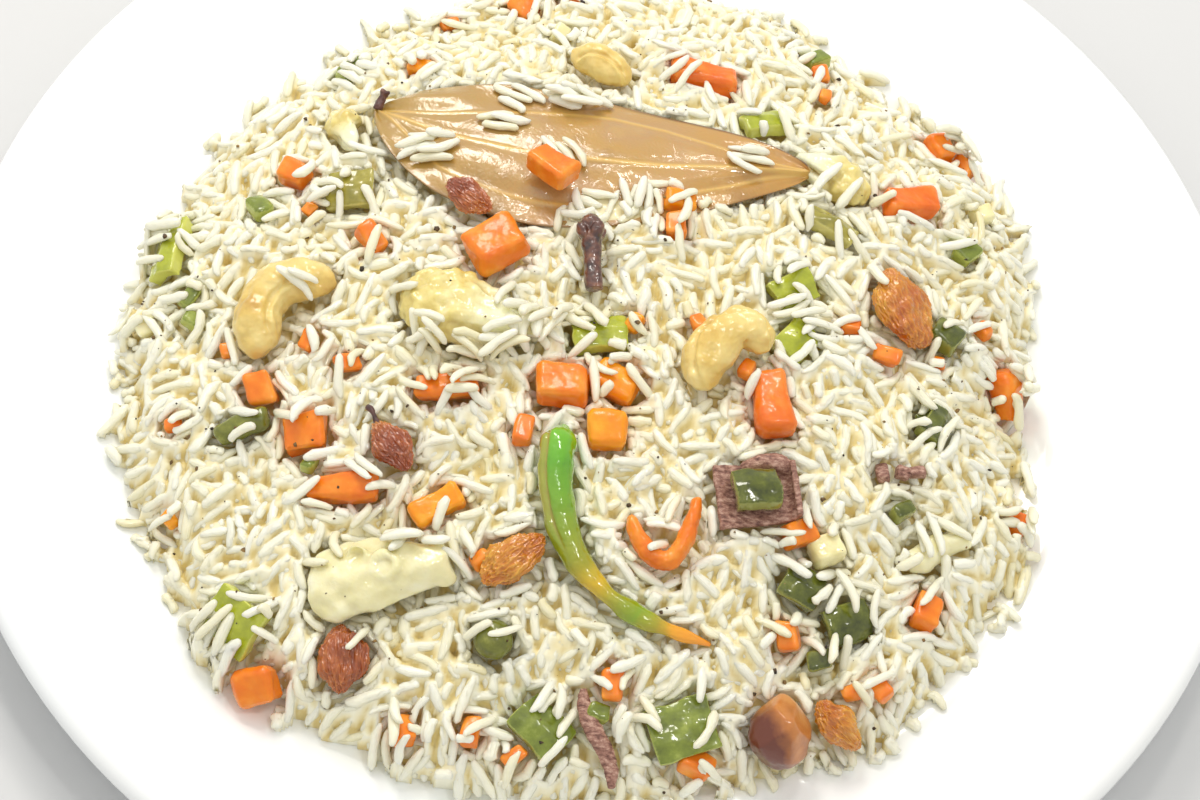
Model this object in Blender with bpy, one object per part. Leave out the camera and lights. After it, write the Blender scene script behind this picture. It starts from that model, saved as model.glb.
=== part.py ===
"""A dinner plate of vegetable pulao: a heap of basmati rice with diced vegetables, nuts, raisins and whole spices.

The plate stands on its foot ring at z = 0, centred on the Z axis. -Y is the side that faces the diner.
Sizes are in metres. The heap and each topping are separate solids, kept GAP apart.
"""

import math
import random

import bmesh
import bpy
from mathutils import Matrix, Vector

MM = 0.001
GAP = 0.3 * MM
UNDER_GAP = 0.4 * MM

# Plate: a wide porcelain plate with a flat well, a soft shoulder and a rolled rim.
PLATE_RADIUS = 140 * MM
PLATE_SEGMENTS = 48
WELL_RADIUS = 84 * MM
WELL_TOP = 5 * MM
SHOULDER_RADIUS = 106 * MM
RIM_TOP = 20 * MM
RIM_ROLL = 4.5 * MM
WALL = 3.4 * MM
FOOT_RADIUS = 80 * MM
FOOT_WIDTH = 5 * MM
FOOT_HEIGHT = 2 * MM

# Heap: what the rice reaches, measured from the plate's centre and from the plate's surface.
HEAP_RADIUS = 100.5 * MM
HEAP_SHIFT = Vector((-3 * MM, -4 * MM))
HEAP_HEIGHT = 33 * MM
HEAP_EDGE = 2.5 * MM
HEAP_RINGS = (0.2, 0.4, 0.58, 0.73, 0.86, 0.95, 1.0)
UNDER_RINGS = (1.0, 0.8, 0.6, 0.4, 0.2, 0.0)
# Where the outline swells or draws in: heading and spread in degrees, then how far in mm.
HEAP_SWELLS = ((66, 20, 3.5), (42, 11, 5.0), (-2, 12, -12.0), (147, 13, -4.5), (-140, 10, -3.5))

# Pockets: the room cut in the heap round each topping. Diced pieces have this many corners.
POCKET = 0.6 * MM
DICED_VERTICES = 24
SEED = 7


# ---------------------------------------------------------------- scene and helpers


def clear_scene():
    for old in list(bpy.data.objects):
        bpy.data.objects.remove(old)


def material(name, colour, roughness, metallic=0.0):
    made = bpy.data.materials.new(name)
    made.use_nodes = True
    shader = made.node_tree.nodes["Principled BSDF"]
    shader.inputs["Base Color"].default_value = (*colour, 1.0)
    shader.inputs["Roughness"].default_value = roughness
    shader.inputs["Metallic"].default_value = metallic
    return made


def add_object(name, bm, finish, smooth_angle=math.radians(40)):
    """An object made from a bmesh, with its faces pointing out."""
    bmesh.ops.recalc_face_normals(bm, faces=bm.faces)
    mesh = bpy.data.meshes.new(name)
    bm.to_mesh(mesh)
    bm.free()
    mesh.shade_smooth()
    mesh.set_sharp_from_angle(angle=smooth_angle)
    mesh.materials.append(finish)
    made = bpy.data.objects.new(name, mesh)
    bpy.context.scene.collection.objects.link(made)
    return made


def bezier(controls, t):
    """A point on the Bezier curve through its first and last control point."""
    points = [Vector(c) for c in controls]
    while len(points) > 1:
        points = [a.lerp(b, t) for a, b in zip(points, points[1:])]
    return points[0]


def bridge_rings(bm, rings, closed_ends=True):
    """Joins rings of vertices, each ring to the next, and closes the first and last."""
    for lower, upper in zip(rings, rings[1:]):
        count = len(lower)
        for i in range(count):
            j = (i + 1) % count
            bm.faces.new((lower[i], lower[j], upper[j], upper[i]))
    if closed_ends:
        bm.faces.new(rings[0])
        bm.faces.new(rings[-1])


def sweep(path, sections, sides=8, up=Vector((0, 0, 1))):
    """A closed tube along path. sections gives each ring's half width and half height."""
    bm = bmesh.new()
    rings = []
    for i, point in enumerate(path):
        ahead = path[min(i + 1, len(path) - 1)] - path[max(i - 1, 0)]
        across = ahead.cross(up).normalized()
        over = across.cross(ahead).normalized()
        half_width, half_height = sections[i]
        ring = []
        for k in range(sides):
            turn = 2 * math.pi * k / sides
            offset = across * (half_width * math.cos(turn)) + over * (half_height * math.sin(turn))
            ring.append(bm.verts.new(point + offset))
        rings.append(ring)
    bridge_rings(bm, rings)
    return bm


# ---------------------------------------------------------------- plate


def plate_inside():
    """The plate's upper surface as (radius, height), from the well's edge to the top of the rim."""
    steps = 4
    points = []
    for i in range(steps + 1):
        share = i / steps
        rise = share * share * (3 - 2 * share)
        radius = WELL_RADIUS + share * (SHOULDER_RADIUS - WELL_RADIUS)
        points.append((radius, WELL_TOP + rise * 6.5 * MM))
    flange_end = PLATE_RADIUS - 2 * RIM_ROLL
    points.append(((SHOULDER_RADIUS + flange_end) / 2, (points[-1][1] + RIM_TOP) / 2 + 0.4 * MM))
    points.append((flange_end, RIM_TOP))
    return points


def plate_top(radius):
    """Height of the plate's upper surface at a radius inside the rim."""
    if radius <= WELL_RADIUS:
        return WELL_TOP
    inside = plate_inside()
    for (r0, z0), (r1, z1) in zip(inside, inside[1:]):
        if radius <= r1:
            return z0 + (z1 - z0) * (radius - r0) / (r1 - r0)
    return inside[-1][1]


def plate_profile():
    """The plate's section, from the middle of the well out over the rim and back under to the middle."""
    inside = plate_inside()
    flange_end, rim_top = inside[-1]
    profile = [(0.0, WELL_TOP), *inside]
    for degrees in (50, 0, -40):
        angle = math.radians(degrees)
        radius = PLATE_RADIUS - RIM_ROLL + RIM_ROLL * math.cos(angle)
        profile.append((radius, rim_top - 0.7 * RIM_ROLL + 0.8 * RIM_ROLL * math.sin(angle)))
    under = [(radius, height - WALL) for radius, height in inside[2::2]]
    under.append((flange_end, rim_top - WALL))
    profile += list(reversed(under))
    foot_outer = FOOT_RADIUS + FOOT_WIDTH / 2
    foot_inner = FOOT_RADIUS - FOOT_WIDTH / 2
    profile += [
        (foot_outer + 1 * MM, FOOT_HEIGHT * 0.8),
        (foot_outer, 0.0),
        (foot_inner, 0.0),
        (foot_inner - 0.6 * MM, FOOT_HEIGHT * 0.7),
        (0.0, FOOT_HEIGHT * 0.7),
    ]
    return profile


def build_plate(finish):
    """The section turned about the Z axis."""
    bm = bmesh.new()
    rings = []
    for radius, height in plate_profile():
        if radius == 0.0:
            rings.append([bm.verts.new((0, 0, height))])
            continue
        ring = []
        for k in range(PLATE_SEGMENTS):
            turn = 2 * math.pi * k / PLATE_SEGMENTS
            ring.append(bm.verts.new((radius * math.cos(turn), radius * math.sin(turn), height)))
        rings.append(ring)
    for inner, outer in zip(rings, rings[1:]):
        for k in range(PLATE_SEGMENTS):
            n = (k + 1) % PLATE_SEGMENTS
            if len(inner) == 1:
                bm.faces.new((inner[0], outer[k], outer[n]))
            elif len(outer) == 1:
                bm.faces.new((inner[k], outer[0], inner[n]))
            else:
                bm.faces.new((inner[k], outer[k], outer[n], inner[n]))
    return add_object("plate", bm, finish)


# ---------------------------------------------------------------- rice heap


def heap_edge(angle):
    """Radius of the heap's outline in a direction, uneven as spooned rice is."""
    shift = HEAP_SHIFT.x * math.cos(angle) + HEAP_SHIFT.y * math.sin(angle)
    waves = 1.6 * math.cos(3 * angle + 0.6) + 1.3 * math.cos(5 * angle - 1.0)
    waves += 0.9 * math.cos(9 * angle + 2.0) + 0.7 * math.cos(14 * angle)
    for heading, spread, swell in HEAP_SWELLS:
        apart = (math.degrees(angle) - heading + 180) % 360 - 180
        waves += swell * math.exp(-((apart / spread) ** 2))
    return HEAP_RADIUS + shift + waves * MM


def heap_dome(x, y):
    """Height of the smooth heap at a point, without its lumps."""
    radius = math.hypot(x, y)
    share = min(radius / heap_edge(math.atan2(y, x)), 1.0)
    rise = (1 - share**2.6) ** 0.62
    return plate_top(radius) + HEAP_EDGE + (HEAP_HEIGHT - HEAP_EDGE) * rise


def heap_top(x, y):
    """Height of the heap at a point. The lumps fade out towards the edge."""
    share = min(math.hypot(x, y) / heap_edge(math.atan2(y, x)), 1.0)
    lumps = math.sin(x / (7.1 * MM) + 1.3) * math.sin(y / (8.3 * MM) + 0.4)
    lumps += 0.8 * math.sin((x + y) / (11.7 * MM)) + 0.6 * math.cos((x - 1.6 * y) / (9.2 * MM))
    return heap_dome(x, y) + 0.75 * MM * lumps * (1 - share**6)


def build_heap(finish):
    """The heap's surface and its underside, which follows the plate, in rings about the plate's axis."""
    bm = bmesh.new()
    turns = [2 * math.pi * k / PLATE_SEGMENTS for k in range(PLATE_SEGMENTS)]
    top_rings = []
    for share in HEAP_RINGS:
        ring = []
        for turn in turns:
            radius = share * heap_edge(turn)
            x, y = radius * math.cos(turn), radius * math.sin(turn)
            ring.append(bm.verts.new((x, y, heap_top(x, y))))
        top_rings.append(ring)
    under_rings = []
    for share in UNDER_RINGS:
        ring = []
        for turn in turns:
            radius = WELL_RADIUS + share * (heap_edge(turn) - WELL_RADIUS)
            height = plate_top(radius) + UNDER_GAP
            ring.append(bm.verts.new((radius * math.cos(turn), radius * math.sin(turn), height)))
        under_rings.append(ring)
    bridge_rings(bm, top_rings + under_rings, closed_ends=False)
    crown = bm.verts.new((0, 0, heap_top(0, 0)))
    base = bm.verts.new((0, 0, WELL_TOP + GAP))
    for k in range(PLATE_SEGMENTS):
        n = (k + 1) % PLATE_SEGMENTS
        bm.faces.new((crown, top_rings[0][k], top_rings[0][n]))
        bm.faces.new((base, under_rings[-1][n], under_rings[-1][k]))
    return add_object("rice_heap", bm, finish)


# ---------------------------------------------------------------- placing toppings


def heap_normal(x, y):
    step = 3 * MM
    slope_x = (heap_dome(x + step, y) - heap_dome(x - step, y)) / (2 * step)
    slope_y = (heap_dome(x, y + step) - heap_dome(x, y - step)) / (2 * step)
    return Vector((-slope_x, -slope_y, 1.0)).normalized()


def settle(made, x, y, turn, lift, roll=0.0, pitch=0.0):
    """Puts a topping's origin on the heap at x, y (mm), lift (mm) above the surface, turned to a heading (degrees).

    It leans with the slope, then by its own roll and pitch. One that would meet the plate is raised clear of it.
    """
    x, y = x * MM, y * MM
    normal = heap_normal(x, y)
    lean = Vector((0, 0, 1)).rotation_difference(normal).to_matrix().to_4x4()
    heading = Matrix.Rotation(math.radians(turn), 4, "Z")
    own = Matrix.Rotation(math.radians(pitch), 4, "Y") @ Matrix.Rotation(math.radians(roll), 4, "X")
    place = Matrix.Translation(Vector((x, y, heap_top(x, y))) + normal * (lift * MM))
    made.matrix_world = place @ lean @ heading @ own
    clear = 0.0
    for vertex in made.data.vertices:
        point = made.matrix_world @ vertex.co
        clear = max(clear, plate_top(math.hypot(point.x, point.y)) + 2 * GAP - point.z)
    made.matrix_world = Matrix.Translation((0, 0, clear)) @ made.matrix_world
    return made


def pocket_for(source):
    """A helper that cuts the place of a topping out of the heap: a block round a diced piece, else its own shape
    swollen all over."""
    if len(source.data.vertices) <= DICED_VERTICES:
        corners = [Vector(corner) for corner in source.bound_box]
        middle = (corners[0] + corners[6]) / 2
        size = corners[6] - corners[0] + 2 * Vector((POCKET, POCKET, POCKET))
        bm = bmesh.new()
        bmesh.ops.create_cube(bm, size=1.0)
        for vertex in bm.verts:
            vertex.co = middle + vertex.co * size
        mesh = bpy.data.meshes.new(f"{source.name}_pocket")
        bm.to_mesh(mesh)
        bm.free()
    else:
        mesh = source.data.copy()
        moved = [v.co + v.normal * POCKET for v in mesh.vertices]
        for vertex, point in zip(mesh.vertices, moved):
            vertex.co = point
    helper = bpy.data.objects.new(f"{source.name}_pocket", mesh)
    helper.matrix_world = source.matrix_world
    return helper


# ---------------------------------------------------------------- vegetables


def carrot_dice(name, size, finish, skew):
    """A knife-cut dice of carrot: a block with softened edges and slightly uneven sides."""
    bm = bmesh.new()
    bmesh.ops.create_cube(bm, size=1.0)
    for vertex in bm.verts:
        uneven = Vector([1 + skew.uniform(-0.10, 0.10) for _ in range(3)])
        vertex.co = Vector([vertex.co[i] * size[i] * MM * uneven[i] for i in range(3)])
    soften = 0.16 * min(size) * MM
    bmesh.ops.bevel(bm, geom=bm.edges, offset=soften, segments=1, profile=0.5, affect="EDGES")
    bmesh.ops.triangulate(bm, faces=bm.faces)
    return add_object(name, bm, finish)


def carrot_slice_folded(name, finish):
    """A thin carrot slice that has folded into a V."""
    arm, width, thickness = 7.5 * MM, 5.2 * MM, 1.7 * MM
    fold = [(-arm, 0.1 * MM), (-0.25 * arm, -4.6 * MM), (0.25 * arm, -4.6 * MM), (arm, 0.8 * MM)]
    path = [Vector((x, y, 0)) for x, y in fold]
    sections = [(thickness * k, width / 2) for k in (0.8, 1.0, 1.0, 0.7)]
    return add_object(name, sweep(path, sections, sides=6), finish)


def pepper_square(name, length, width, bend, finish):
    """A square of sweet pepper: skin outside, bent across its width, with the cut flesh at its edges."""
    wall = 3.2 * MM
    columns, rows = 4, 3
    bm = bmesh.new()
    grids = []
    for side in (-0.5, 0.5):
        grid = []
        for i in range(columns):
            row = []
            for j in range(rows):
                u = i / (columns - 1) - 0.5
                v = j / (rows - 1) - 0.5
                inset = 1.0 if side > 0 else 0.9
                bow = -bend * MM * (4 * v * v) - 0.4 * bend * MM * (4 * u * u)
                x = u * length * MM * inset
                y = v * width * MM * inset
                row.append(bm.verts.new((x, y, side * wall + bow)))
            grid.append(row)
        grids.append(grid)
    for grid in grids:
        for i in range(columns - 1):
            for j in range(rows - 1):
                bm.faces.new((grid[i][j], grid[i + 1][j], grid[i + 1][j + 1], grid[i][j + 1]))
    outline = [(i, 0) for i in range(columns)] + [(columns - 1, j) for j in range(1, rows)]
    outline += [(i, rows - 1) for i in range(columns - 2, -1, -1)] + [(0, j) for j in range(rows - 2, 0, -1)]
    lower = [grids[0][i][j] for i, j in outline]
    upper = [grids[1][i][j] for i, j in outline]
    bridge_rings(bm, [lower, upper], closed_ends=False)
    return add_object(name, bm, finish)


def bean_cut(name, length, width, finish):
    """A short length of green bean with blunt ends."""
    half = length * MM / 2
    path = [Vector((half * s, 0.10 * half * (1 - s * s), 0)) for s in (-1.0, -0.8, 0.0, 0.8, 1.0)]
    radius = width * MM / 2
    sections = [(radius * k, radius * k * 0.9) for k in (0.75, 0.97, 1.0, 0.97, 0.75)]
    return add_object(name, sweep(path, sections, sides=8), finish)


def green_pea(name, width, finish):
    bm = bmesh.new()
    bmesh.ops.create_icosphere(bm, subdivisions=2, radius=width * MM / 2)
    for vertex in bm.verts:
        vertex.co.z *= 0.92
    return add_object(name, bm, finish)


def cauliflower_floret(name, length, width, height, finish, subdivisions):
    """A floret: a bumpy head at -X that narrows to a cut stalk at +X."""
    bm = bmesh.new()
    bmesh.ops.create_icosphere(bm, subdivisions=subdivisions, radius=1.0)
    for vertex in bm.verts:
        d = vertex.co.copy()
        bumps = math.sin(5.1 * d.x + 1.0) * math.sin(6.3 * d.y + 2.0) * math.sin(5.7 * d.z)
        along = (d.x + 1) / 2
        narrow = 1.0 - 0.62 * along**2.2
        swell = 1 + 0.10 * bumps * (1 - along)
        x = (d.x + 0.35 * max(d.x, 0.0)) * 0.43 * length * MM
        vertex.co = Vector((x, d.y * narrow * width * MM / 2, d.z * narrow * height * MM / 2)) * swell
    return add_object(name, bm, finish)


def cauliflower_slice(name, length, width, height, finish):
    """A flat slice of stalk and head: broad and round at one end, cut square at the other."""
    half = length * MM / 2
    path = [Vector((half * s, 0, 0)) for s in (-1.0, -0.82, -0.3, 0.35, 0.9, 1.0)]
    widths = (0.45, 0.86, 1.0, 0.86, 0.66, 0.58)
    heights = (0.4, 0.85, 1.0, 0.95, 0.85, 0.6)
    sections = [(w * width * MM / 2, h * height * MM / 2) for w, h in zip(widths, heights)]
    return add_object(name, sweep(path, sections, sides=10), finish)


def green_chilli(finish):
    """A whole small chilli, bent as it lies over the heap, thick at the stalk end and pointed at the tip."""
    route = [Vector((-6.2, -34.6)), Vector((-10.4, -52)), Vector((0.8, -73.5)), Vector((28, -72.5))]
    rings = 15
    path, sections = [], []
    for i in range(rings):
        t = i / (rings - 1)
        spot = bezier(route, t) * MM
        blunt = math.sqrt(max(0.0, 1 - (1 - min(t / 0.10, 1)) ** 2))
        radius = (0.9 + 3.8 * (1 - t) ** 0.7) * MM * (0.45 + 0.55 * blunt)
        radius *= min(1.0, 0.35 + (1 - t) / 0.12)
        height = heap_top(spot.x, spot.y) + 0.62 * radius
        path.append(Vector((spot.x, spot.y, height)))
        sections.append((radius, 0.92 * radius))
    return add_object("green_chilli", sweep(path, sections, sides=8), finish)


# ---------------------------------------------------------------- nuts and dried fruit


def cashew(name, span, plump, finish, curl=205):
    """A kernel curved like a C, fat in the middle and blunt at both ends, open towards -Y."""
    rings = 10
    radius = 0.36 * span * MM
    path, sections = [], []
    for i in range(rings):
        s = 2 * i / (rings - 1) - 1
        angle = math.radians(90 - s * curl / 2)
        path.append(Vector((radius * math.cos(angle), radius * math.sin(angle) - radius / 3, 0)))
        end = math.sqrt(max(0.02, 1 - abs(s) ** 3.2))
        lobe = 0.86 + 0.14 * math.cos(2.2 * s * math.pi)
        sections.append((plump * MM * end * lobe, 1.02 * plump * MM * end))
    return add_object(name, sweep(path, sections, sides=8), finish)


def raisin(name, length, width, height, finish, wrinkle):
    """A plumped raisin: a flattened oval, pinched where the stalk was and creased along its length."""
    bm = bmesh.new()
    bmesh.ops.create_uvsphere(bm, u_segments=10, v_segments=6, radius=1.0)
    bmesh.ops.rotate(bm, verts=bm.verts, matrix=Matrix.Rotation(math.pi / 2, 3, "Y"))
    for vertex in bm.verts:
        d = vertex.co.copy()
        around = math.atan2(d.z, d.y)
        crease = 1 + 0.07 * math.cos(5 * around + wrinkle.uniform(-0.5, 0.5)) * (1 - d.x * d.x)
        pinch = 1 - 0.25 * max(d.x, 0.0) ** 2
        half = Vector((length, width * crease * pinch, height * crease * pinch)) * (MM / 2)
        vertex.co = Vector((d.x * half.x, d.y * half.y, d.z * half.z))
    return add_object(name, bm, finish)


def toasted_nut(name, finish):
    """Half of a fried nut lying on its flat side, rounded on top."""
    bm = bmesh.new()
    bmesh.ops.create_uvsphere(bm, u_segments=12, v_segments=7, radius=1.0)
    for vertex in bm.verts:
        d = vertex.co.copy()
        flat = d.z if d.z > 0 else 0.45 * d.z
        taper = 1 - 0.12 * d.y
        vertex.co = Vector((d.x * 6.6 * MM * taper, d.y * 7.6 * MM, flat * 8.0 * MM))
    return add_object(name, bm, finish)


# ---------------------------------------------------------------- whole spices


def leaf_spine(u):
    """The midrib seen from above, in mm, u from the stalk to the tip."""
    return bezier([Vector((-57, 42.5)), Vector((-35, 31)), Vector((-5, 30)), Vector((38.2, 37.8))], u)


def leaf_surface(u, v, spread=1.0):
    """A point of the bay leaf: u runs from stalk to tip, v from the far edge at -1 to the near edge at 1."""
    spine = leaf_spine(u)
    ahead = leaf_spine(u + 0.01)
    across = Vector((ahead.y - spine.y, spine.x - ahead.x)).normalized()
    share = min(max(u, 0.0), 1.0)
    if v < 0:
        half_width = 17.2 * math.sin(math.pi * share**0.85) ** 0.42
    else:
        half_width = 18.6 * math.sin(math.pi * share**0.92) ** 0.75
    half_width = max(half_width, 0.0) + 0.8
    spot = (spine + across * (v * half_width * spread)) * MM
    cup = 1.4 * v * v * math.sin(math.pi * share)
    return Vector((spot.x, spot.y, heap_dome(spot.x, spot.y) + (1.9 - cup) * MM))


def build_leaf(name, finish, below, above, spread=1.0):
    """The leaf as a thin solid. below and above say how far it reaches from the leaf's surface."""
    columns, rows = 15, 5
    bm = bmesh.new()
    layers = []
    for offset in (-below, above):
        grid = []
        for i in range(columns):
            u = i / (columns - 1)
            row = []
            for j in range(rows):
                v = 2 * j / (rows - 1) - 1
                point = leaf_surface(u, v, spread)
                row.append(bm.verts.new(point + Vector((0, 0, offset))))
            grid.append(row)
        layers.append(grid)
    for grid in layers:
        for i in range(columns - 1):
            for j in range(rows - 1):
                bm.faces.new((grid[i][j], grid[i + 1][j], grid[i + 1][j + 1], grid[i][j + 1]))
    outline = [(i, 0) for i in range(columns)] + [(columns - 1, j) for j in range(1, rows)]
    outline += [(i, rows - 1) for i in range(columns - 2, -1, -1)] + [(0, j) for j in range(rows - 2, 0, -1)]
    lower = [layers[0][i][j] for i, j in outline]
    upper = [layers[1][i][j] for i, j in outline]
    bridge_rings(bm, [lower, upper], closed_ends=False)
    return add_object(name, bm, finish)


def clove(name, finish):
    """A dried flower bud: a tapered stem, four spread sepals and a round bud on top, along X with the bud at -X."""
    profile = (
        (-8.4, 0.9, 0.0), (-7.6, 2.2, 0.0), (-6.0, 2.6, 0.0), (-4.6, 2.1, 0.1), (-3.8, 3.0, 0.34),
        (-2.6, 2.0, 0.15), (0.0, 1.75, 0.05), (4.0, 1.55, 0.0), (8.0, 1.2, 0.0), (8.6, 0.7, 0.0),
    )
    sides = 8
    bm = bmesh.new()
    rings = []
    for x, radius, lobes in profile:
        ring = []
        for k in range(sides):
            turn = 2 * math.pi * k / sides
            r = radius * MM * (1 + lobes * math.cos(4 * turn))
            ring.append(bm.verts.new((x * MM, r * math.cos(turn), r * math.sin(turn))))
        rings.append(ring)
    bridge_rings(bm, rings)
    return add_object(name, bm, finish)


def bark_piece(name, finish):
    """A piece of cinnamon bark: a plate of bark whose long edge has curled over."""
    length, thickness = 13.4 * MM, 1.3 * MM
    spine = [(-8.4, 0.4), (-3.0, 0.0), (3.0, 0.2), (6.2, 1.2), (7.6, 3.0), (7.0, 5.0)]
    bm = bmesh.new()
    rings = []
    for end in (-0.5, 0.5):
        outer, inner = [], []
        for i, (x, z) in enumerate(spine):
            before = Vector(spine[max(i - 1, 0)])
            after = Vector(spine[min(i + 1, len(spine) - 1)])
            along = (after - before).normalized()
            side = Vector((-along.y, along.x)) * (thickness / 2)
            y = end * length * (1 - 0.03 * i)
            middle = Vector((x, z)) * MM
            outer.append(bm.verts.new((middle.x - side.x, y, middle.y - side.y)))
            inner.append(bm.verts.new((middle.x + side.x, y, middle.y + side.y)))
        rings.append(outer + list(reversed(inner)))
    bridge_rings(bm, rings, closed_ends=False)
    count = len(spine)
    for ring in rings:
        for i in range(count - 1):
            bm.faces.new((ring[i], ring[i + 1], ring[-2 - i], ring[-1 - i]))
    return add_object(name, bm, finish)


def bark_strip(name, length, width, finish):
    """A thin twisted strip of bark."""
    steps = 7
    path, sections = [], []
    for i in range(steps):
        s = 2 * i / (steps - 1) - 1
        path.append(Vector((s * length * MM / 2, 1.3 * MM * math.sin(2.6 * s), 0.6 * MM * math.cos(3 * s))))
        narrow = 1 - 0.55 * abs(s) ** 2.5
        sections.append((width * MM / 2 * narrow, 0.9 * MM * narrow))
    return add_object(name, sweep(path, sections, sides=6), finish)


# ---------------------------------------------------------------- the whole dish


def build_toppings(finish):
    """Every topping as large as a berry, each a solid in its own place on the heap."""
    uneven = random.Random(SEED)
    toppings = []

    # Carrot: length, width and thickness in mm, then place, heading, lift and lean.
    dice = (
        ((15.0, 6.0, 5.0), 13.3, 63.4, -2, 0.2, 10),
        ((11.0, 7.2, 5.6), -16.4, 24.7, -36, 5.4, -8),
        ((11.4, 9.8, 5.6), -26.0, 5.4, 40, 4.4, -10),
        ((13.0, 7.0, 4.6), 60.8, 37.5, 20, 0.6, 0),
        ((9.4, 8.8, 5.5), -58.1, -39.4, 12, 0.6, 6),
        ((15.2, 5.8, 5.2), -48.0, -51.0, 4, 0.4, 0),
        ((8.2, 7.6, 6.2), -58.4, -90.0, 15, 0.0, 0),
        ((13.0, 5.5, 5.0), -31.2, -27.4, 10, -0.6, 0),
        ((9.2, 8.0, 6.4), -8.4, -25.0, 4, 1.2, -10),
        ((9.6, 7.2, 5.2), 3.0, -20.9, -24, 0.3, 8),
        ((7.4, 7.4, 5.0), 2.4, -33.8, 4, 0.3, 4),
        ((10.2, 5.6, 4.6), -29.1, -53.4, 38, 0.2, 0),
        ((13.4, 6.4, 5.0), 34.8, -21.6, -76, 0.6, 8),
        ((10.6, 5.6, 5.0), 86.6, 2.0, -58, 1.0, 0),
    )
    for number, (size, x, y, turn, lift, roll) in enumerate(dice, 1):
        made = carrot_dice(f"carrot_{number:02d}", size, finish["carrot"], uneven)
        toppings.append(settle(made, x, y, turn, lift, roll=roll))
    made = carrot_slice_folded("carrot_slice", finish["carrot"])
    toppings.append(settle(made, 16.9, -52.6, 4, 0.8, roll=-12))

    # Sweet pepper: length, width and bend in mm, then place, heading, lift and lean.
    peppers = (
        ("left", 16.0, 7.2, 1.2, -96.0, 5.4, 92, 1.2, -16),
        ("back_left", 10.4, 9.2, 1.0, -58.6, 19.2, 8, 1.4, 10),
        ("behind_leaf", 10.6, 5.6, 1.0, 27.4, 51.2, 28, 0.8, -14),
        ("back_right", 11.6, 5.2, 0.8, 43.9, 25.0, -24, 1.0, -10),
        ("by_nut_far", 10.6, 7.4, 1.0, 37.2, 7.0, 38, 0.6, 16),
        ("by_nut_near", 9.0, 7.6, 0.8, 38.6, -5.6, 60, 0.2, 10),
        ("middle", 11.4, 7.6, 1.4, -1.8, -10.8, 14, 1.2, -8),
        ("right", 9.0, 6.0, 0.8, 69.9, -16.1, 68, 0.4, 8),
        ("front_left", 12.4, 10.6, 1.0, -65.2, -79.0, -34, 0.8, 4),
        ("front_middle", 11.4, 9.4, 1.2, -2.6, -92.0, -38, 1.0, -12),
        ("front_right", 13.2, 11.2, 1.0, 24.3, -88.6, 27, 1.2, -6),
        ("right_near_a", 8.8, 7.6, 1.2, 44.6, -57.6, -20, 1.0, -6),
        ("right_near_b", 10.0, 8.2, 1.4, 54.8, -62.6, 30, 1.0, 8),
    )
    for place, length, width, bend, x, y, turn, lift, roll in peppers:
        made = pepper_square(f"pepper_{place}", length, width, bend, finish["pepper"])
        toppings.append(settle(made, x, y, turn, lift, roll=roll))

    made = bean_cut("bean_left", 11.4, 5.8, finish["bean"])
    toppings.append(settle(made, -70.8, -38.5, 24, 0.8))
    made = green_pea("green_pea", 8.6, finish["bean"])
    toppings.append(settle(made, -14.2, -77.6, 0, 0.4))

    florets = (
        ("cauliflower_1", 31.0, 20.8, 13.0, -30.8, -10.4, -14, 0.2, 3),
        ("cauliflower_3", 19.0, 14.6, 11.0, 45.0, 39.4, 160, 0.2, 2),
        ("cauliflower_4", 17.0, 9.6, 8.0, -63.4, 37.8, -62, 0.2, 2),
    )
    for name, length, width, height, x, y, turn, lift, detail in florets:
        made = cauliflower_floret(name, length, width, height, finish["cauliflower"], detail)
        toppings.append(settle(made, x, y, turn, lift))
    made = cauliflower_slice("cauliflower_2", 28.0, 17.6, 9.0, finish["cauliflower"])
    toppings.append(settle(made, -37.8, -67.4, 15, 1.6, roll=-10))
    made = cauliflower_slice("cauliflower_5", 15.4, 7.4, 4.6, finish["cauliflower"])
    toppings.append(settle(made, 72.1, -42.5, 30, 0.5))

    cashews = (
        ("cashew_1", 24.5, 4.9, -66.6, -14.4, 42, 1.6, 0),
        ("cashew_2", 19.5, 4.7, 25.4, -12.9, 42, 2.0, 0),
        ("cashew_3", 14.0, 3.8, -9.0, 60.6, 40, 0.6, 12),
    )
    for name, span, plump, x, y, turn, lift, roll in cashews:
        made = cashew(name, span, plump, finish["cashew"])
        toppings.append(settle(made, x, y, turn, lift, roll=roll))
    made = toasted_nut("toasted_nut", finish["toasted"])
    toppings.append(settle(made, 43.6, -85.4, 10, 0.5))

    raisins = (
        ("raisin_1", 18.4, 13.0, 6.0, 60.6, 8.8, -56, 1.6, -12),
        ("raisin_2", 15.0, 9.4, 5.6, -12.5, -62.4, 42, 1.6, -6),
        ("raisin_3", 12.6, 8.0, 6.0, -39.6, -42.4, -50, 1.8, 0),
        ("raisin_4", 14.2, 10.2, 6.0, -42.8, -84.2, -84, 0.6, 6),
        ("raisin_5", 12.0, 8.0, 5.0, -32.6, 16.0, -40, 4.0, 0),
        ("raisin_6", 12.4, 7.8, 6.0, 55.0, -82.4, -34, 0.2, 0),
    )
    for name, length, width, height, x, y, turn, lift, roll in raisins:
        made = raisin(name, length, width, height, finish["raisin"], uneven)
        toppings.append(settle(made, x, y, turn, lift, roll=roll))

    toppings.append(green_chilli(finish["chilli"]))
    toppings.append(settle(clove("clove", finish["clove"]), -5.1, 6.0, -80, 2.6, pitch=10))
    toppings.append(settle(bark_piece("cinnamon_bark", finish["bark"]), 33.4, -42.0, 14, 1.2))
    made = pepper_square("pepper_on_bark", 9.6, 8.4, 1.0, finish["pepper"])
    toppings.append(settle(made, 32.4, -42.2, 16, 5.4))
    toppings.append(settle(bark_strip("bark_strip", 20.0, 4.0, finish["bark"]), 8.4, -92.6, -70, 1.0))
    return toppings


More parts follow.
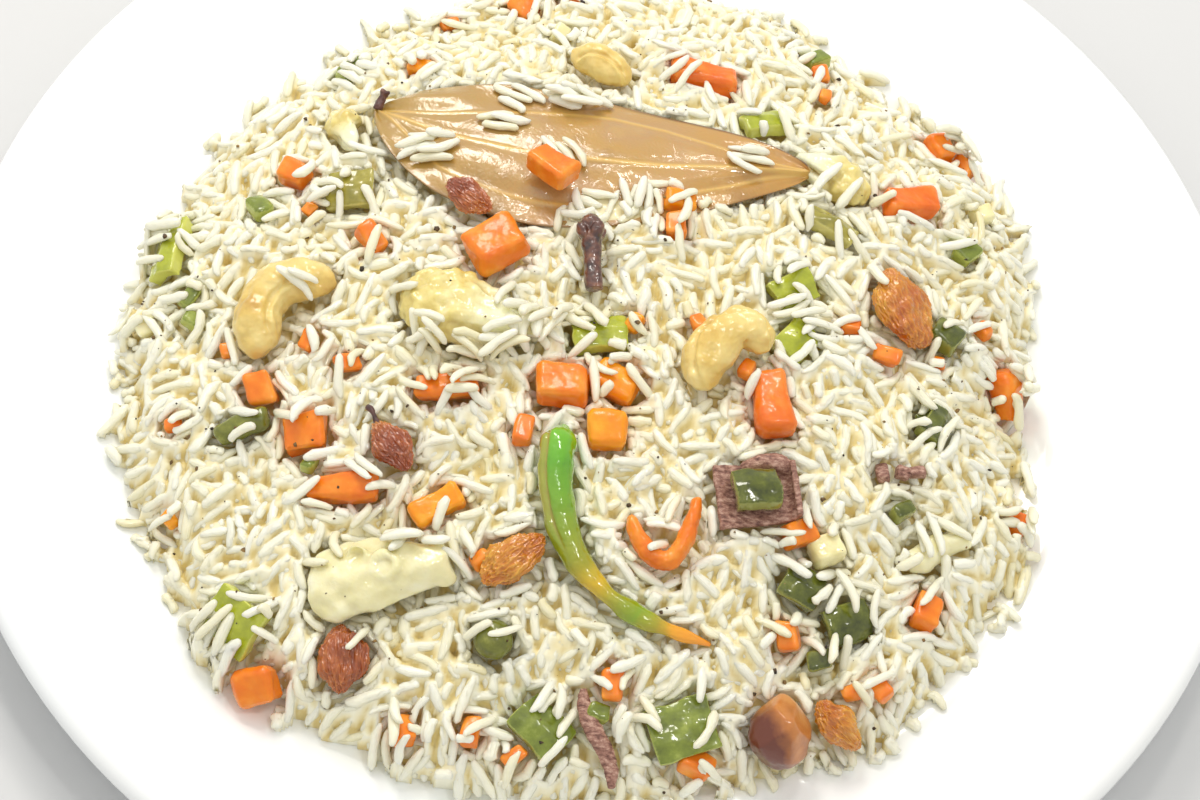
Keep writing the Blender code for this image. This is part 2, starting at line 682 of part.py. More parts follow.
def cut_pockets(heap, toppings, finish):
    """Cuts the place of each topping out of the heap, and all that would stand in the leaf's way."""
    pockets = bpy.data.collections.new("pockets")
    bpy.context.scene.collection.children.link(pockets)
    helpers = [pocket_for(made) for made in toppings]
    leaf_room = build_leaf("bay_leaf_pocket", finish["leaf"], below=0.9 * MM, above=14 * MM, spread=1.06)
    bpy.context.scene.collection.objects.unlink(leaf_room)
    helpers.append(leaf_room)
    for helper in helpers:
        helper.hide_render = True
        helper.display_type = "WIRE"
        pockets.objects.link(helper)
    cut = heap.modifiers.new("pockets", "BOOLEAN")
    cut.operation = "DIFFERENCE"
    cut.operand_type = "COLLECTION"
    cut.collection = pockets
    cut.solver = "EXACT"


def build():
    clear_scene()
    finish = {
        "porcelain": material("white_porcelain", (0.86, 0.88, 0.89), 0.15),
        "rice": material("basmati_rice", (0.80, 0.77, 0.62), 0.40),
        "carrot": material("carrot", (0.90, 0.25, 0.03), 0.35),
        "pepper": material("green_pepper", (0.30, 0.45, 0.04), 0.30),
        "bean": material("green_bean", (0.14, 0.20, 0.02), 0.30),
        "cauliflower": material("cauliflower", (0.80, 0.72, 0.36), 0.40),
        "chilli": material("green_chilli", (0.20, 0.45, 0.03), 0.15),
        "cashew": material("cashew", (0.82, 0.62, 0.26), 0.40),
        "toasted": material("toasted_nut", (0.55, 0.24, 0.07), 0.35),
        "raisin": material("raisin", (0.45, 0.13, 0.03), 0.25),
        "leaf": material("bay_leaf", (0.42, 0.27, 0.09), 0.20),
        "clove": material("clove", (0.12, 0.05, 0.03), 0.40),
        "bark": material("cinnamon_bark", (0.13, 0.05, 0.04), 0.60),
    }
    build_plate(finish["porcelain"])
    heap = build_heap(finish["rice"])
    toppings = build_toppings(finish)
    build_leaf("bay_leaf", finish["leaf"], below=0.3 * MM, above=0.3 * MM)
    cut_pockets(heap, toppings, finish)


build()
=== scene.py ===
import math

import bpy
import numpy as np
from mathutils import Matrix, Vector, noise
from mathutils.bvhtree import BVHTree


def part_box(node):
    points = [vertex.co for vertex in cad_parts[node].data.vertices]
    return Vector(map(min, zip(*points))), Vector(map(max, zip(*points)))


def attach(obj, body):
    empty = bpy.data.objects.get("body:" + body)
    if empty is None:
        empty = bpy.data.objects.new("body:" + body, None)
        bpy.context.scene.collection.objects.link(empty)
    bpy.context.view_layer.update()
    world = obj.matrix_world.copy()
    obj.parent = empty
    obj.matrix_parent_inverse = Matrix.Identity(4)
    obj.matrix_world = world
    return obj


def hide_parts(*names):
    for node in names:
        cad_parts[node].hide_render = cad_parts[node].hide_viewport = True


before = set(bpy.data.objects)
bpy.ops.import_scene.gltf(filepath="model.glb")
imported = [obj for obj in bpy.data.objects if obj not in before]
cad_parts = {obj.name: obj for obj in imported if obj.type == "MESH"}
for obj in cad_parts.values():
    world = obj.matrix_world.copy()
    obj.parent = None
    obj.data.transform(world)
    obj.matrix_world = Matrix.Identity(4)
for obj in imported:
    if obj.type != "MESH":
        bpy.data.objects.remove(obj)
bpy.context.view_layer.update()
scene = bpy.context.scene
scene.view_settings.view_transform = "Standard"
MM = 0.001


# ---------------------------------------------------------------- plate
# A wide round dinner plate of white porcelain, pressed on a wheel, with a flat well, a soft shoulder, a
# broad flange and a rolled rim. It stands on an unglazed foot ring. One closed turned shell.

WELL_RADIUS, WELL_TOP = 84 * MM, 5 * MM
SHOULDER_RADIUS, SHOULDER_TOP = 106 * MM, 11.5 * MM
FLANGE_RADIUS, FLANGE_TOP = 131 * MM, 20 * MM
WALL, RIM = 3.4 * MM, 4.5 * MM
FOOT_RADIUS, FOOT_HALF, FOOT_HEIGHT = 80 * MM, 2.5 * MM, 2 * MM


def linear(code):
    """A colour in linear light from its sRGB hex code."""
    shades = [int(code[i : i + 2], 16) / 255 for i in (1, 3, 5)]
    return (*[s / 12.92 if s <= 0.04045 else ((s + 0.055) / 1.055) ** 2.4 for s in shades], 1.0)


def add(tree, kind, inputs=None, stops=None, out=0, **settings):
    """Adds a shader node and gives one of its outputs. Inputs take values, colour codes or outputs."""
    made = tree.nodes.new(f"ShaderNode{kind}")
    for name, value in settings.items():
        setattr(made, name, value)
    for socket, value in (inputs or {}).items():
        if isinstance(value, bpy.types.NodeSocket):
            tree.links.new(value, made.inputs[socket])
        else:
            made.inputs[socket].default_value = linear(value) if isinstance(value, str) else value
    for number, (place, code) in enumerate(stops or ()):
        ramp = made.color_ramp.elements
        stop = ramp[number] if number < 2 else ramp.new(place)
        stop.position = place
        stop.color = linear(code)
    return made.outputs[out] if made.outputs else None


def finish_of(name, **surface):
    """A material named for its finish, with its node tree and its shader, which holds the plain values."""
    made = bpy.data.materials.new(name)
    made.use_nodes = True
    tree = made.node_tree
    tree.nodes.clear()
    light_out = add(tree, "BsdfPrincipled", {key.replace("_", " "): value for key, value in surface.items()})
    add(tree, "OutputMaterial", {"Surface": light_out})
    return made, tree, light_out.node


def feed(shader, **sockets):
    """Links outputs to the shader's sockets."""
    for name, output in sockets.items():
        shader.id_data.links.new(output, shader.inputs[name.replace("_", " ")])


def take(obj):
    """Makes obj the only selected and the active object."""
    bpy.ops.object.select_all(action="DESELECT")
    obj.select_set(True)
    bpy.context.view_layer.objects.active = obj


def primitive(kind, name, **settings):
    """Adds a primitive with nothing else selected, and names it."""
    bpy.ops.object.select_all(action="DESELECT")
    getattr(bpy.ops.mesh, f"primitive_{kind}_add")(**settings)
    made = bpy.context.object
    made.name = name
    return made


def clean(obj, gap=0.01 * MM):
    """Merges doubles and turns the faces out."""
    take(obj)
    bpy.ops.object.mode_set(mode="EDIT")
    bpy.ops.mesh.select_all(action="SELECT")
    bpy.ops.mesh.remove_doubles(threshold=gap)
    bpy.ops.mesh.normals_make_consistent(inside=False)
    bpy.ops.object.mode_set(mode="OBJECT")


def plate_section():
    """The plate's section as (radius, height), from the middle of the well over the rim and back under it."""
    inside = []
    for share in np.linspace(0, 1, 13):
        rise = share * share * (3 - 2 * share)
        radius = WELL_RADIUS + share * (SHOULDER_RADIUS - WELL_RADIUS)
        inside.append((radius, WELL_TOP + rise * (SHOULDER_TOP - WELL_TOP)))
    for share in np.linspace(0, 1, 9)[1:]:
        crown = 0.4 * MM * math.sin(math.pi * share)
        radius = SHOULDER_RADIUS + share * (FLANGE_RADIUS - SHOULDER_RADIUS)
        inside.append((radius, SHOULDER_TOP + share * (FLANGE_TOP - SHOULDER_TOP) + crown))
    rim = []
    for degrees in range(75, -90, -15):
        turn = math.radians(degrees)
        radius = FLANGE_RADIUS + RIM + RIM * math.cos(turn)
        rim.append((radius, FLANGE_TOP - 0.7 * RIM + 0.8 * RIM * math.sin(turn)))
    under = [(radius + 0.6 * MM, height - WALL) for radius, height in reversed(inside[3:])]
    outer, inner = FOOT_RADIUS + FOOT_HALF, FOOT_RADIUS - FOOT_HALF
    foot = [(outer + 1.2 * MM, FOOT_HEIGHT), (outer + 0.3 * MM, 0.5 * MM), (outer - 0.6 * MM, 0.0)]
    foot += [(inner + 0.6 * MM, 0.0), (inner - 0.3 * MM, 0.5 * MM), (inner - 1.0 * MM, 0.7 * FOOT_HEIGHT)]
    well = [(0.0, WELL_TOP), (0.5 * WELL_RADIUS, WELL_TOP)]
    return [*well, *inside, *rim, *under, *foot, (0.0, 0.7 * FOOT_HEIGHT)]


plate = primitive("plane", "porcelain_plate", size=1 * MM, location=(0, 0, WELL_TOP))
bpy.ops.object.transform_apply(location=True)
bpy.ops.object.mode_set(mode="EDIT")
bpy.ops.mesh.select_all(action="SELECT")
bpy.ops.mesh.merge(type="CENTER")
section = plate_section()
for (r0, z0), (r1, z1) in zip(section, section[1:]):
    bpy.ops.mesh.extrude_region_move(TRANSFORM_OT_translate={"value": (r1 - r0, 0, z1 - z0)})
bpy.ops.mesh.select_all(action="SELECT")
bpy.ops.mesh.spin(steps=160, angle=2 * math.pi, center=(0, 0, 0), axis=(0, 0, 1))
bpy.ops.object.mode_set(mode="OBJECT")
clean(plate)
bpy.ops.object.shade_smooth()

# Hard porcelain under clear glaze: a bright, faintly blue white with a soft mirror gloss, very slightly
# uneven.
glaze, tree, shader = finish_of(
    "glazed_white_porcelain", Roughness=0.12, IOR=1.5, Coat_Weight=0.3, Coat_Roughness=0.05
)
coords = add(tree, "TexCoord", out="Object")
cloud = add(tree, "TexNoise", {"Vector": coords, "Scale": 14.0, "Detail": 2.0})
tint = add(tree, "ValToRGB", {"Fac": cloud}, stops=((0.3, "#F4F8FB"), (0.7, "#FAFBFA")))
ripple = add(tree, "TexNoise", {"Vector": coords, "Scale": 40.0, "Detail": 1.0})
wave = add(tree, "Bump", {"Height": ripple, "Strength": 0.04, "Distance": 1 * MM})
feed(shader, Base_Color=tint, Normal=wave)
plate.data.materials.append(glaze)
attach(plate, "root")
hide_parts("plate")


# ---------------------------------------------------------------- diced carrot
# Carrot boiled soft, cut by knife into rough dice of 7 to 15 mm and one thin slice that has folded. The cut
# faces are smooth and wet, and the corners are worn round. The dice lie half sunk in the rice.


def join(first, *others):
    """Joins pieces into the first of them."""
    take(first)
    for other in others:
        other.select_set(True)
    bpy.ops.object.join()


def copy_of(node, name):
    """A new object with a copy of a CAD node's mesh, its loose triangles joined."""
    made = bpy.data.objects.new(name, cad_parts[node].data.copy())
    scene.collection.objects.link(made)
    made.data.materials.clear()
    clean(made)
    return made


def apply(obj, kind, **settings):
    """Adds a modifier with its settings and applies it."""
    take(obj)
    made = obj.modifiers.new(kind, kind)
    for name, value in settings.items():
        setattr(made, name, value)
    bpy.ops.object.modifier_apply(modifier=made.name)


def soften(obj, times):
    apply(obj, "SMOOTH", factor=0.5, iterations=times)


def reskin(obj, cell, times=0):
    """Rebuilds a piece as one even closed skin, its cell in mm, and smooths it."""
    apply(obj, "REMESH", mode="VOXEL", voxel_size=cell * MM)
    if times:
        soften(obj, times)


def roughen(obj, lumps, depth, level=0.5, group=""):
    """Swells and sinks a piece by a pattern, its depth in mm."""
    settings = {"texture": lumps, "strength": depth * MM, "mid_level": level, "vertex_group": group}
    apply(obj, "DISPLACE", texture_coords="LOCAL", **settings)


def pattern(name, kind, size, **settings):
    """A procedural pattern for a displace modifier, with its size in metres."""
    made = bpy.data.textures.new(name, kind)
    made.noise_scale = size
    for key, value in settings.items():
        setattr(made, key, value)
    return made


toppings = []


def settled(obj, finish, node=None, care=1):
    """Ends a topping. The rice may lie on one whose care is 1, and leaves one whose care is 2 bare."""
    toppings.append((obj, care))
    take(obj)
    bpy.ops.object.shade_smooth()
    obj.data.materials.clear()
    obj.data.materials.append(finish)
    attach(obj, "root")
    if node:
        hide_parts(node)


def paint(obj, name, values):
    """Stores a number for each point of the mesh, for its material."""
    layer = obj.data.attributes.new(name, "FLOAT", "POINT")
    layer.data.foreach_set("value", np.asarray(values, np.float32))


def points_of(mesh):
    flat = np.empty(len(mesh.vertices) * 3)
    mesh.vertices.foreach_get("co", flat)
    return flat.reshape(-1, 3)


def normals_of(mesh):
    """The way out of the surface at each point, summed triangle by triangle so that each run agrees."""
    mesh.calc_loop_triangles()
    corners = np.empty(len(mesh.loop_triangles) * 3, np.int32)
    mesh.loop_triangles.foreach_get("vertices", corners)
    corners = corners.reshape(-1, 3).T
    first, second, third = points_of(mesh)[corners]
    facing = np.cross(second - first, third - first)
    summed = np.zeros((len(mesh.vertices), 3))
    for corner in corners:
        np.add.at(summed, corner, facing)
    return summed / np.maximum(np.linalg.norm(summed, axis=1, keepdims=True), 1e-30)


def move_points(mesh, points):
    mesh.vertices.foreach_set("co", np.asarray(points, np.float32).ravel())
    mesh.update()


def laid_along(name, course, wide, tall, fullness=2.6, degree=3):
    """A closed round body drawn out along a course given in mm, with blunt ends."""
    made = primitive("uv_sphere", name, segments=96, ring_count=64, radius=1.0)
    spots = points_of(made.data)
    steps = np.linalg.norm(np.diff(course, axis=0), axis=1)
    stations = np.concatenate([[0], np.cumsum(steps)]) / steps.sum()
    fit = np.polyfit(stations, np.array(course), degree)
    at = (spots[:, 2] + 1) / 2
    line = np.stack([np.polyval(fit[:, k], at) for k in range(3)], axis=1) * MM
    ahead = np.stack([np.polyval(np.polyder(fit[:, k]), at) for k in range(3)], axis=1)
    ahead /= np.linalg.norm(ahead, axis=1, keepdims=True)
    side = np.cross(ahead, (0, 0, 1))
    side /= np.linalg.norm(side, axis=1, keepdims=True)
    over = np.cross(ahead, side)
    ring = np.sqrt(np.clip(1 - np.abs(spots[:, 2]) ** fullness, 0, 1))
    turn = np.arctan2(spots[:, 1], spots[:, 0])
    across = (ring * np.cos(turn) * np.interp(at, np.linspace(0, 1, len(wide)), wide) * MM)[:, None]
    upward = (ring * np.sin(turn) * np.interp(at, np.linspace(0, 1, len(tall)), tall) * MM)[:, None]
    move_points(made.data, line + side * across + over * upward)
    return made, np.cos(turn) * ring, at


broad_lumps = pattern("broad_lumps", "CLOUDS", 11 * MM, noise_depth=0)
soft_lumps = pattern("soft_lumps", "CLOUDS", 5 * MM, noise_depth=1)
fine_lumps = pattern("fine_lumps", "CLOUDS", 1.6 * MM, noise_depth=2)


def carrot_finish(name, deep, middle, light):
    """Boiled carrot: dense wet flesh that glows a little, with paler fibres, a painted highlight along its
    edges and a soft shine.
    """
    made, tree, shader = finish_of(
        name,
        Roughness=0.34,
        IOR=1.4,
        Subsurface_Weight=0.35,
        Subsurface_Scale=1.2 * MM,
        Subsurface_Radius=(1.0, 0.45, 0.15),
        Coat_Weight=0.4,
        Coat_Roughness=0.12,
    )
    coords = add(tree, "TexCoord", out="Object")
    flesh = add(tree, "TexNoise", {"Vector": coords, "Scale": 190.0, "Detail": 3.0})
    tint = add(tree, "ValToRGB", {"Fac": flesh}, stops=((0.30, deep), (0.52, middle), (0.75, light)))
    # Painted highlight: the sharper, outward-curving edges are mixed towards the light colour.
    convexity = add(tree, "NewGeometry", out="Pointiness")
    edge = add(tree, "MapRange", {"Value": convexity, "From Min": 0.52, "From Max": 0.60, "To Max": 0.45})
    mixed = add(tree, "Mix", {"Factor": edge, 6: tint, 7: light}, out=2, data_type="RGBA")
    feed(shader, Base_Color=mixed)
    fibre = add(tree, "TexNoise", {"Vector": coords, "Scale": 900.0, "Detail": 2.0})
    grain = add(tree, "Bump", {"Height": fibre, "Strength": 0.25, "Distance": 0.3 * MM})
    feed(shader, Normal=grain)
    return made


orange = carrot_finish("boiled_carrot_outer", "#E67010", "#EE8418", "#F7A43C")
red_orange = carrot_finish("boiled_carrot_skin", "#E06614", "#EC781A", "#F5983A")
amber = carrot_finish("boiled_carrot_core", "#EF8C06", "#F69A0A", "#FAB42C")
dice_finish = {1: red_orange, 4: red_orange, 13: red_orange, 10: amber, 11: amber, 12: amber}
BARE_DICE = (2, 3, 7, 9, 11, 13)
for number in range(1, 15):
    node = f"carrot_{number:02d}"
    dice = copy_of(node, f"carrot_dice_{number:02d}")
    reskin(dice, 0.34, 1)
    roughen(dice, broad_lumps, 2.6)
    roughen(dice, fine_lumps, 0.30)
    settled(dice, dice_finish.get(number, orange), node, 2 if number in BARE_DICE else 1)
FOLD = ((9.5, -50.8, 36.6), (12, -56.4, 35.9), (16.8, -59.4, 35.4), (20.4, -54.6, 36.8), (22, -46.8, 37.6))
slice_piece = laid_along(
    "carrot_slice_folded", FOLD, (1.4, 1.7, 2.0, 1.7, 1.4), (1.6, 2.2, 2.4, 2.2, 1.5), fullness=7, degree=4
)[0]
reskin(slice_piece, 0.35)
roughen(slice_piece, fine_lumps, 0.6)
roughen(slice_piece, soft_lumps, 1.0)
settled(slice_piece, orange, "carrot_slice", care=2)


# ---------------------------------------------------------------- sweet pepper, bean and pea
# Green sweet pepper cut in squares, skin side mostly up, some pale lime and some dark, with one cut bean
# and one pea. The skin is waxy and glossy, and the cut flesh round it is paler and juicy.


def up_axis(points):
    """The direction of a flat piece's thickness, pointing up."""
    spread = np.linalg.eigh(np.cov((points - points.mean(axis=0)).T))[1]
    return spread[:, 0] * (1 if spread[2, 0] > 0 else -1)


def pepper_finish(name, skin, shade, flesh, gloss=0.26):
    """Softened pepper: waxy skin with faint pale specks, and watery flesh on the cut sides."""
    made, tree, shader = finish_of(
        name,
        Roughness=gloss,
        IOR=1.42,
        Subsurface_Weight=0.25,
        Subsurface_Scale=1.0 * MM,
        Subsurface_Radius=(1.0, 1.0, 0.3),
        Coat_Weight=0.8,
        Coat_Roughness=0.07,
    )
    coords = add(tree, "TexCoord", out="Object")
    cloud = add(tree, "TexNoise", {"Vector": coords, "Scale": 260.0, "Detail": 4.0, "Roughness": 0.6})
    waxy = add(tree, "ValToRGB", {"Fac": cloud}, stops=((0.32, shade), (0.55, skin), (0.80, flesh)))
    side = add(tree, "Attribute", out="Fac", attribute_name="skin")
    mixed = add(tree, "Mix", {"Factor": side, 6: flesh, 7: waxy}, out=2, data_type="RGBA")
    feed(shader, Base_Color=mixed)
    pores = add(tree, "TexNoise", {"Vector": coords, "Scale": 340.0, "Detail": 2.0})
    grain = add(tree, "Bump", {"Height": pores, "Strength": 0.4, "Distance": 0.6 * MM})
    feed(shader, Normal=grain, Coat_Normal=grain)
    return made


lime = pepper_finish("softened_pepper_lime", "#AEB62C", "#98A024", "#CCCF60")
leaf_green = pepper_finish("softened_pepper_green", "#7E8C2C", "#626E20", "#ACB656")
olive = pepper_finish("softened_pepper_olive", "#767A22", "#545A16", "#A6A84C")
dark = pepper_finish("softened_pepper_dark", "#5C6416", "#3A420E", "#8C9040", gloss=0.16)
khaki = pepper_finish("softened_pepper_khaki", "#A2983A", "#868030", "#C4BC6C")
pepper_looks = {
    "left": lime, "back_left": khaki, "behind_leaf": lime, "back_right": khaki, "by_nut_far": lime,
    "by_nut_near": lime, "middle": lime, "right": dark, "front_left": lime, "front_middle": leaf_green,
    "front_right": leaf_green, "right_near_a": dark, "right_near_b": dark, "on_bark": dark,
}
for place, finish in pepper_looks.items():
    node = f"pepper_{place}"
    square = copy_of(node, f"pepper_square_{place}")
    reskin(square, 0.32, 10)
    roughen(square, soft_lumps, 1.2)
    spots = points_of(square.data)
    if place == "on_bark":
        reach = np.linalg.norm(spots[:, :2] - spots[:, :2].mean(axis=0), axis=1) / (6.5 * MM)
        upper = np.clip(normals_of(square.data)[:, 2] / 0.5, 0, 1)
        dome = 0.6 * MM * np.clip(1 - reach**2, 0, 1)
        lean = 0.20 * (spots[:, 1].max() - spots[:, 1])
        spots[:, 2] += upper * (dome + lean)
        move_points(square.data, spots)
    facing = normals_of(square.data)
    paint(square, "skin", np.clip((facing @ up_axis(spots) - 0.55) / 0.25, 0, 1))
    settled(square, finish, node, 2 if place == "on_bark" else 1)

for node, name, size in (("bean_left", "bean_cut", 1.2), ("green_pea", "pea_whole", 0.5)):
    piece = copy_of(node, name)
    apply(piece, "SUBSURF", levels=2, render_levels=2)
    roughen(piece, soft_lumps, size)
    paint(piece, "skin", np.ones(len(piece.data.vertices)))
    settled(piece, olive, node)


# ---------------------------------------------------------------- cauliflower
# Boiled cauliflower: florets whose head is a crowd of small buds on smooth branching stalks, and two smooth
# slices cut through the stalk. The flesh is pale yellow, watery and slightly see-through.


def drop(tree_of, x, y, down=True, start=0.08):
    """Height where a vertical ray first meets a surface, or None."""
    hit = tree_of.ray_cast(Vector((x, y, start if down else -start)), Vector((0, 0, -1 if down else 1)))
    return None if hit[0] is None else hit[0].z


def head_side(points, heading):
    """How far each point lies towards the head, from 0 at the stalk to 1."""
    along = points @ np.array([math.cos(heading), math.sin(heading), 0.0])
    return (along - along.min()) / (along.max() - along.min())


def cauliflower_finish(name, dark_tone_and_crease_shade, flesh, light, gloss):
    """Boiled cauliflower: cream flesh with painted shade, darker and yellower, in its creases, and a wet
    film.
    """
    made, tree, shader = finish_of(
        name,
        Roughness=gloss,
        IOR=1.38,
        Subsurface_Weight=0.5,
        Subsurface_Scale=2.0 * MM,
        Subsurface_Radius=(1.0, 0.9, 0.5),
        Coat_Weight=0.9,
        Coat_Roughness=0.07,
    )
    coords = add(tree, "TexCoord", out="Object")
    cloud = add(tree, "TexNoise", {"Vector": coords, "Scale": 160.0, "Detail": 3.0})
    tint = add(tree, "ValToRGB", {"Fac": cloud}, stops=((0.3, dark_tone_and_crease_shade), (0.55, flesh), (0.8, light)))
    # Painted shade: where the surface curves inward it is mixed towards the dark crease colour.
    hollow = add(tree, "NewGeometry", out="Pointiness")
    depth = add(tree, "MapRange", {"Value": hollow, "From Min": 0.50, "From Max": 0.42})
    stem = add(tree, "Attribute", out="Fac", attribute_name="stem")
    whiter = add(tree, "Mix", {"Factor": stem, 6: tint, 7: "#EFEFCE"}, out=2, data_type="RGBA")
    mixed = add(tree, "Mix", {"Factor": depth, 6: whiter, 7: dark_tone_and_crease_shade}, out=2, data_type="RGBA")
    feed(shader, Base_Color=mixed)
    buds = add(tree, "TexNoise", {"Vector": coords, "Scale": 1500.0, "Detail": 2.0})
    grain = add(tree, "Bump", {"Height": buds, "Strength": 0.35, "Distance": 0.3 * MM})
    feed(shader, Normal=grain)
    film = add(tree, "TexNoise", {"Vector": coords, "Scale": 380.0, "Detail": 3.0})
    wet = add(tree, "Bump", {"Height": film, "Strength": 0.5, "Distance": 0.6 * MM})
    feed(shader, Coat_Normal=wet)
    return made


buds_finish = cauliflower_finish("boiled_cauliflower_buds", "#D4BE68", "#E4D488", "#F0E8B8", 0.42)
stalk_finish = cauliflower_finish("boiled_cauliflower_stalk", "#DCD294", "#EEE6B4", "#F8F4D8", 0.20)
bud_lumps = pattern("bud_lumps", "VORONOI", 3.4 * MM)
tiny_buds = pattern("tiny_buds", "VORONOI", 0.9 * MM)
florets = {"cauliflower_1": 166, "cauliflower_3": -20, "cauliflower_4": 118}
for node, heading in florets.items():
    floret = copy_of(node, node.replace("cauliflower", "cauliflower_floret"))
    reskin(floret, 0.45, 6)
    head = floret.vertex_groups.new(name="head")
    spots = points_of(floret.data)
    share = head_side(spots, math.radians(heading))
    forth = np.array([math.cos(math.radians(heading)), math.sin(math.radians(heading))])
    from_root = spots[:, :2] - spots[share < 0.04, :2].mean(axis=0) + 3 * MM * forth
    turned = np.arctan2(from_root @ np.array([-forth[1], forth[0]]), from_root @ forth)
    gully = np.clip(1 - 2.2 * np.abs(np.cos(4.2 * turned)), 0, 1) * np.clip((0.62 - share) / 0.2, 0, 1)
    move_points(floret.data, spots - normals_of(floret.data) * (1.9 * MM * gully)[:, None])
    for index, weight in enumerate(np.clip((share - 0.30) / 0.3, 0, 1)):
        head.add([index], float(weight), "REPLACE")
    roughen(floret, soft_lumps, 2.4)
    roughen(floret, bud_lumps, -1.2, 0.35, "head")
    roughen(floret, tiny_buds, -0.35, 0.35, "head")
    soften(floret, 1)
    share = head_side(points_of(floret.data), math.radians(heading))
    paint(floret, "stem", np.clip((0.60 - share) / 0.3, 0, 1))
    settled(floret, buds_finish, node)

# The slices, with the heading of each and the little hooked stalks that the knife bared on its face.
CUT_SLICES = {
    "cauliflower_2": (15, ((-37.2, -67.9, 2.4, 22), (-42.9, -66.2, 1.7, 35))),
    "cauliflower_5": (10, ()),
}
for node, (heading, hooks) in CUT_SLICES.items():
    cut = copy_of(node, node.replace("cauliflower", "cauliflower_slice"))
    apply(cut, "SUBSURF", levels=2, render_levels=2)
    spots = points_of(cut.data)
    middle = spots.mean(axis=0)
    root = head_side(spots, math.radians(heading))
    taper = 1.12 - 0.42 * root
    spots[:, 1] = middle[1] + (spots[:, 1] - middle[1]) * taper - 2.0 * MM * (0.5 - root)
    move_points(cut.data, spots)
    surface = BVHTree.FromObject(cut, bpy.context.evaluated_depsgraph_get())
    for hook_x, hook_y, size, lean in hooks:
        level = drop(surface, hook_x * MM, hook_y * MM)
        hook = primitive(
            "torus", "cut_hook", major_segments=28, minor_segments=12, major_radius=size * MM,
            minor_radius=0.85 * MM, location=(hook_x * MM, hook_y * MM, level - 0.1 * MM),
            rotation=(math.radians(lean), math.radians(-12), 0),
        )
        bpy.ops.object.transform_apply(location=True, rotation=True)
        join(cut, hook)
    reskin(cut, 0.45)
    roughen(cut, soft_lumps, 2.0)
    soften(cut, 2)
    paint(cut, "stem", np.clip(root[0] + 0.15, 0, 0.3) * np.ones(len(cut.data.vertices)))
    settled(cut, stalk_finish, node)


# ---------------------------------------------------------------- cashews and the toasted nut
# Whole cashew kernels fried pale gold, curved and smooth, with the seam of their two halves and a darker
# end, and one nut piece toasted brown, with flats where it was broken, at the heap's foot.


def nut_finish(name, dark_tone, middle, light, gloss):
    """Fried nut: dry, waxy and smooth, with darker fried patches."""
    made, tree, shader = finish_of(
        name,
        Roughness=gloss,
        IOR=1.45,
        Subsurface_Weight=0.25,
        Subsurface_Scale=1.5 * MM,
        Subsurface_Radius=(1.0, 0.7, 0.35),
        Coat_Weight=0.5,
        Coat_Roughness=0.12,
    )
    coords = add(tree, "TexCoord", out="Object")
    cloud = add(tree, "TexNoise", {"Vector": coords, "Scale": 120.0, "Detail": 4.0})
    burnt = add(tree, "Attribute", out="Fac", attribute_name="toast")
    tone = add(tree, "Math", {0: cloud, 1: burnt}, operation="SUBTRACT")
    tint = add(tree, "ValToRGB", {"Fac": tone}, stops=((0.12, dark_tone), (0.42, middle), (0.68, light)))
    feed(shader, Base_Color=tint)
    skin = add(tree, "TexNoise", {"Vector": coords, "Scale": 1300.0, "Detail": 3.0})
    grain = add(tree, "Bump", {"Height": skin, "Strength": 0.2, "Distance": 0.3 * MM})
    feed(shader, Normal=grain)
    return made


cashew_finish = nut_finish("fried_cashew", "#B9863C", "#DFBF68", "#EFDA92", 0.30)
toast_finish = nut_finish("toasted_nut", "#6E3828", "#C07A3C", "#E0A866", 0.28)
KERNEL_COURSE = {
    1: ((-69, -22.4, 30.8), (-72, -15.6, 32.2), (-70.6, -9.4, 33.4), (-65.6, -6, 34.2), (-58, -7.4, 34)),
    2: ((22.6, -21.2, 40), (20.8, -14.8, 41.4), (23.4, -9.6, 42.2), (28.4, -8.2, 42), (31.2, -13.2, 40.6)),
    3: ((-15.8, 60.2, 32.4), (-12.8, 61.8, 33.4), (-9.6, 61.6, 33.8), (-6.4, 59.6, 33.4), (-4.0, 56.8, 32.6)),
}
KERNEL_GIRTH = {1: (4.9, 5.3, 4.9, 4.6, 4.3), 2: (4.6, 5.2, 4.9, 4.5, 4.2), 3: (3.2, 3.9, 4.0, 3.8, 2.9)}
KERNEL_SEAM = {1: 0.42, 2: -0.60, 3: 0.10}
for number, course in KERNEL_COURSE.items():
    girth = np.array(KERNEL_GIRTH[number])
    kernel, across, at = laid_along(f"cashew_kernel_{number}", course, girth, girth * 0.86, fullness=6)
    facing = normals_of(kernel.data)
    on_top = facing[:, 2] > 0.1
    from_seam = across - KERNEL_SEAM[number]
    seam = np.exp(-((from_seam / 0.10) ** 2)) * on_top
    seam *= np.clip((0.9 - np.abs(2 * at - 1)) / 0.2, 0, 1)
    lip = np.exp(-(((from_seam - 0.2) / 0.12) ** 2)) * on_top
    move_points(kernel.data, points_of(kernel.data) + facing * ((0.35 * lip - 0.80 * seam) * MM)[:, None])
    reskin(kernel, 0.26, 2)
    roughen(kernel, soft_lumps, 1.7)
    roughen(kernel, fine_lumps, 0.40)
    spots = points_of(kernel.data)
    far_end = np.linalg.norm(spots - np.array(course[-1]) * MM, axis=1) / MM
    paint(kernel, "toast", 0.22 * np.clip(1 - far_end / 5.5, 0, 1))
    settled(kernel, cashew_finish, f"cashew_{number}", care=2)
nut = copy_of("toasted_nut", "toasted_nut_half")
apply(nut, "SUBSURF", levels=2, render_levels=2)
roughen(nut, soft_lumps, 2.0)
spots = points_of(nut.data)
middle = (spots.max(axis=0) + spots.min(axis=0)) / 2
half_size = (spots.max(axis=0) - spots.min(axis=0)) / 2
NUT_FLATS = (
    (20, 35, 0.72), (75, 55, 0.78), (200, 48, 0.74), (265, 30, 0.80), (320, 25, 0.82), (140, 25, 0.76),
)
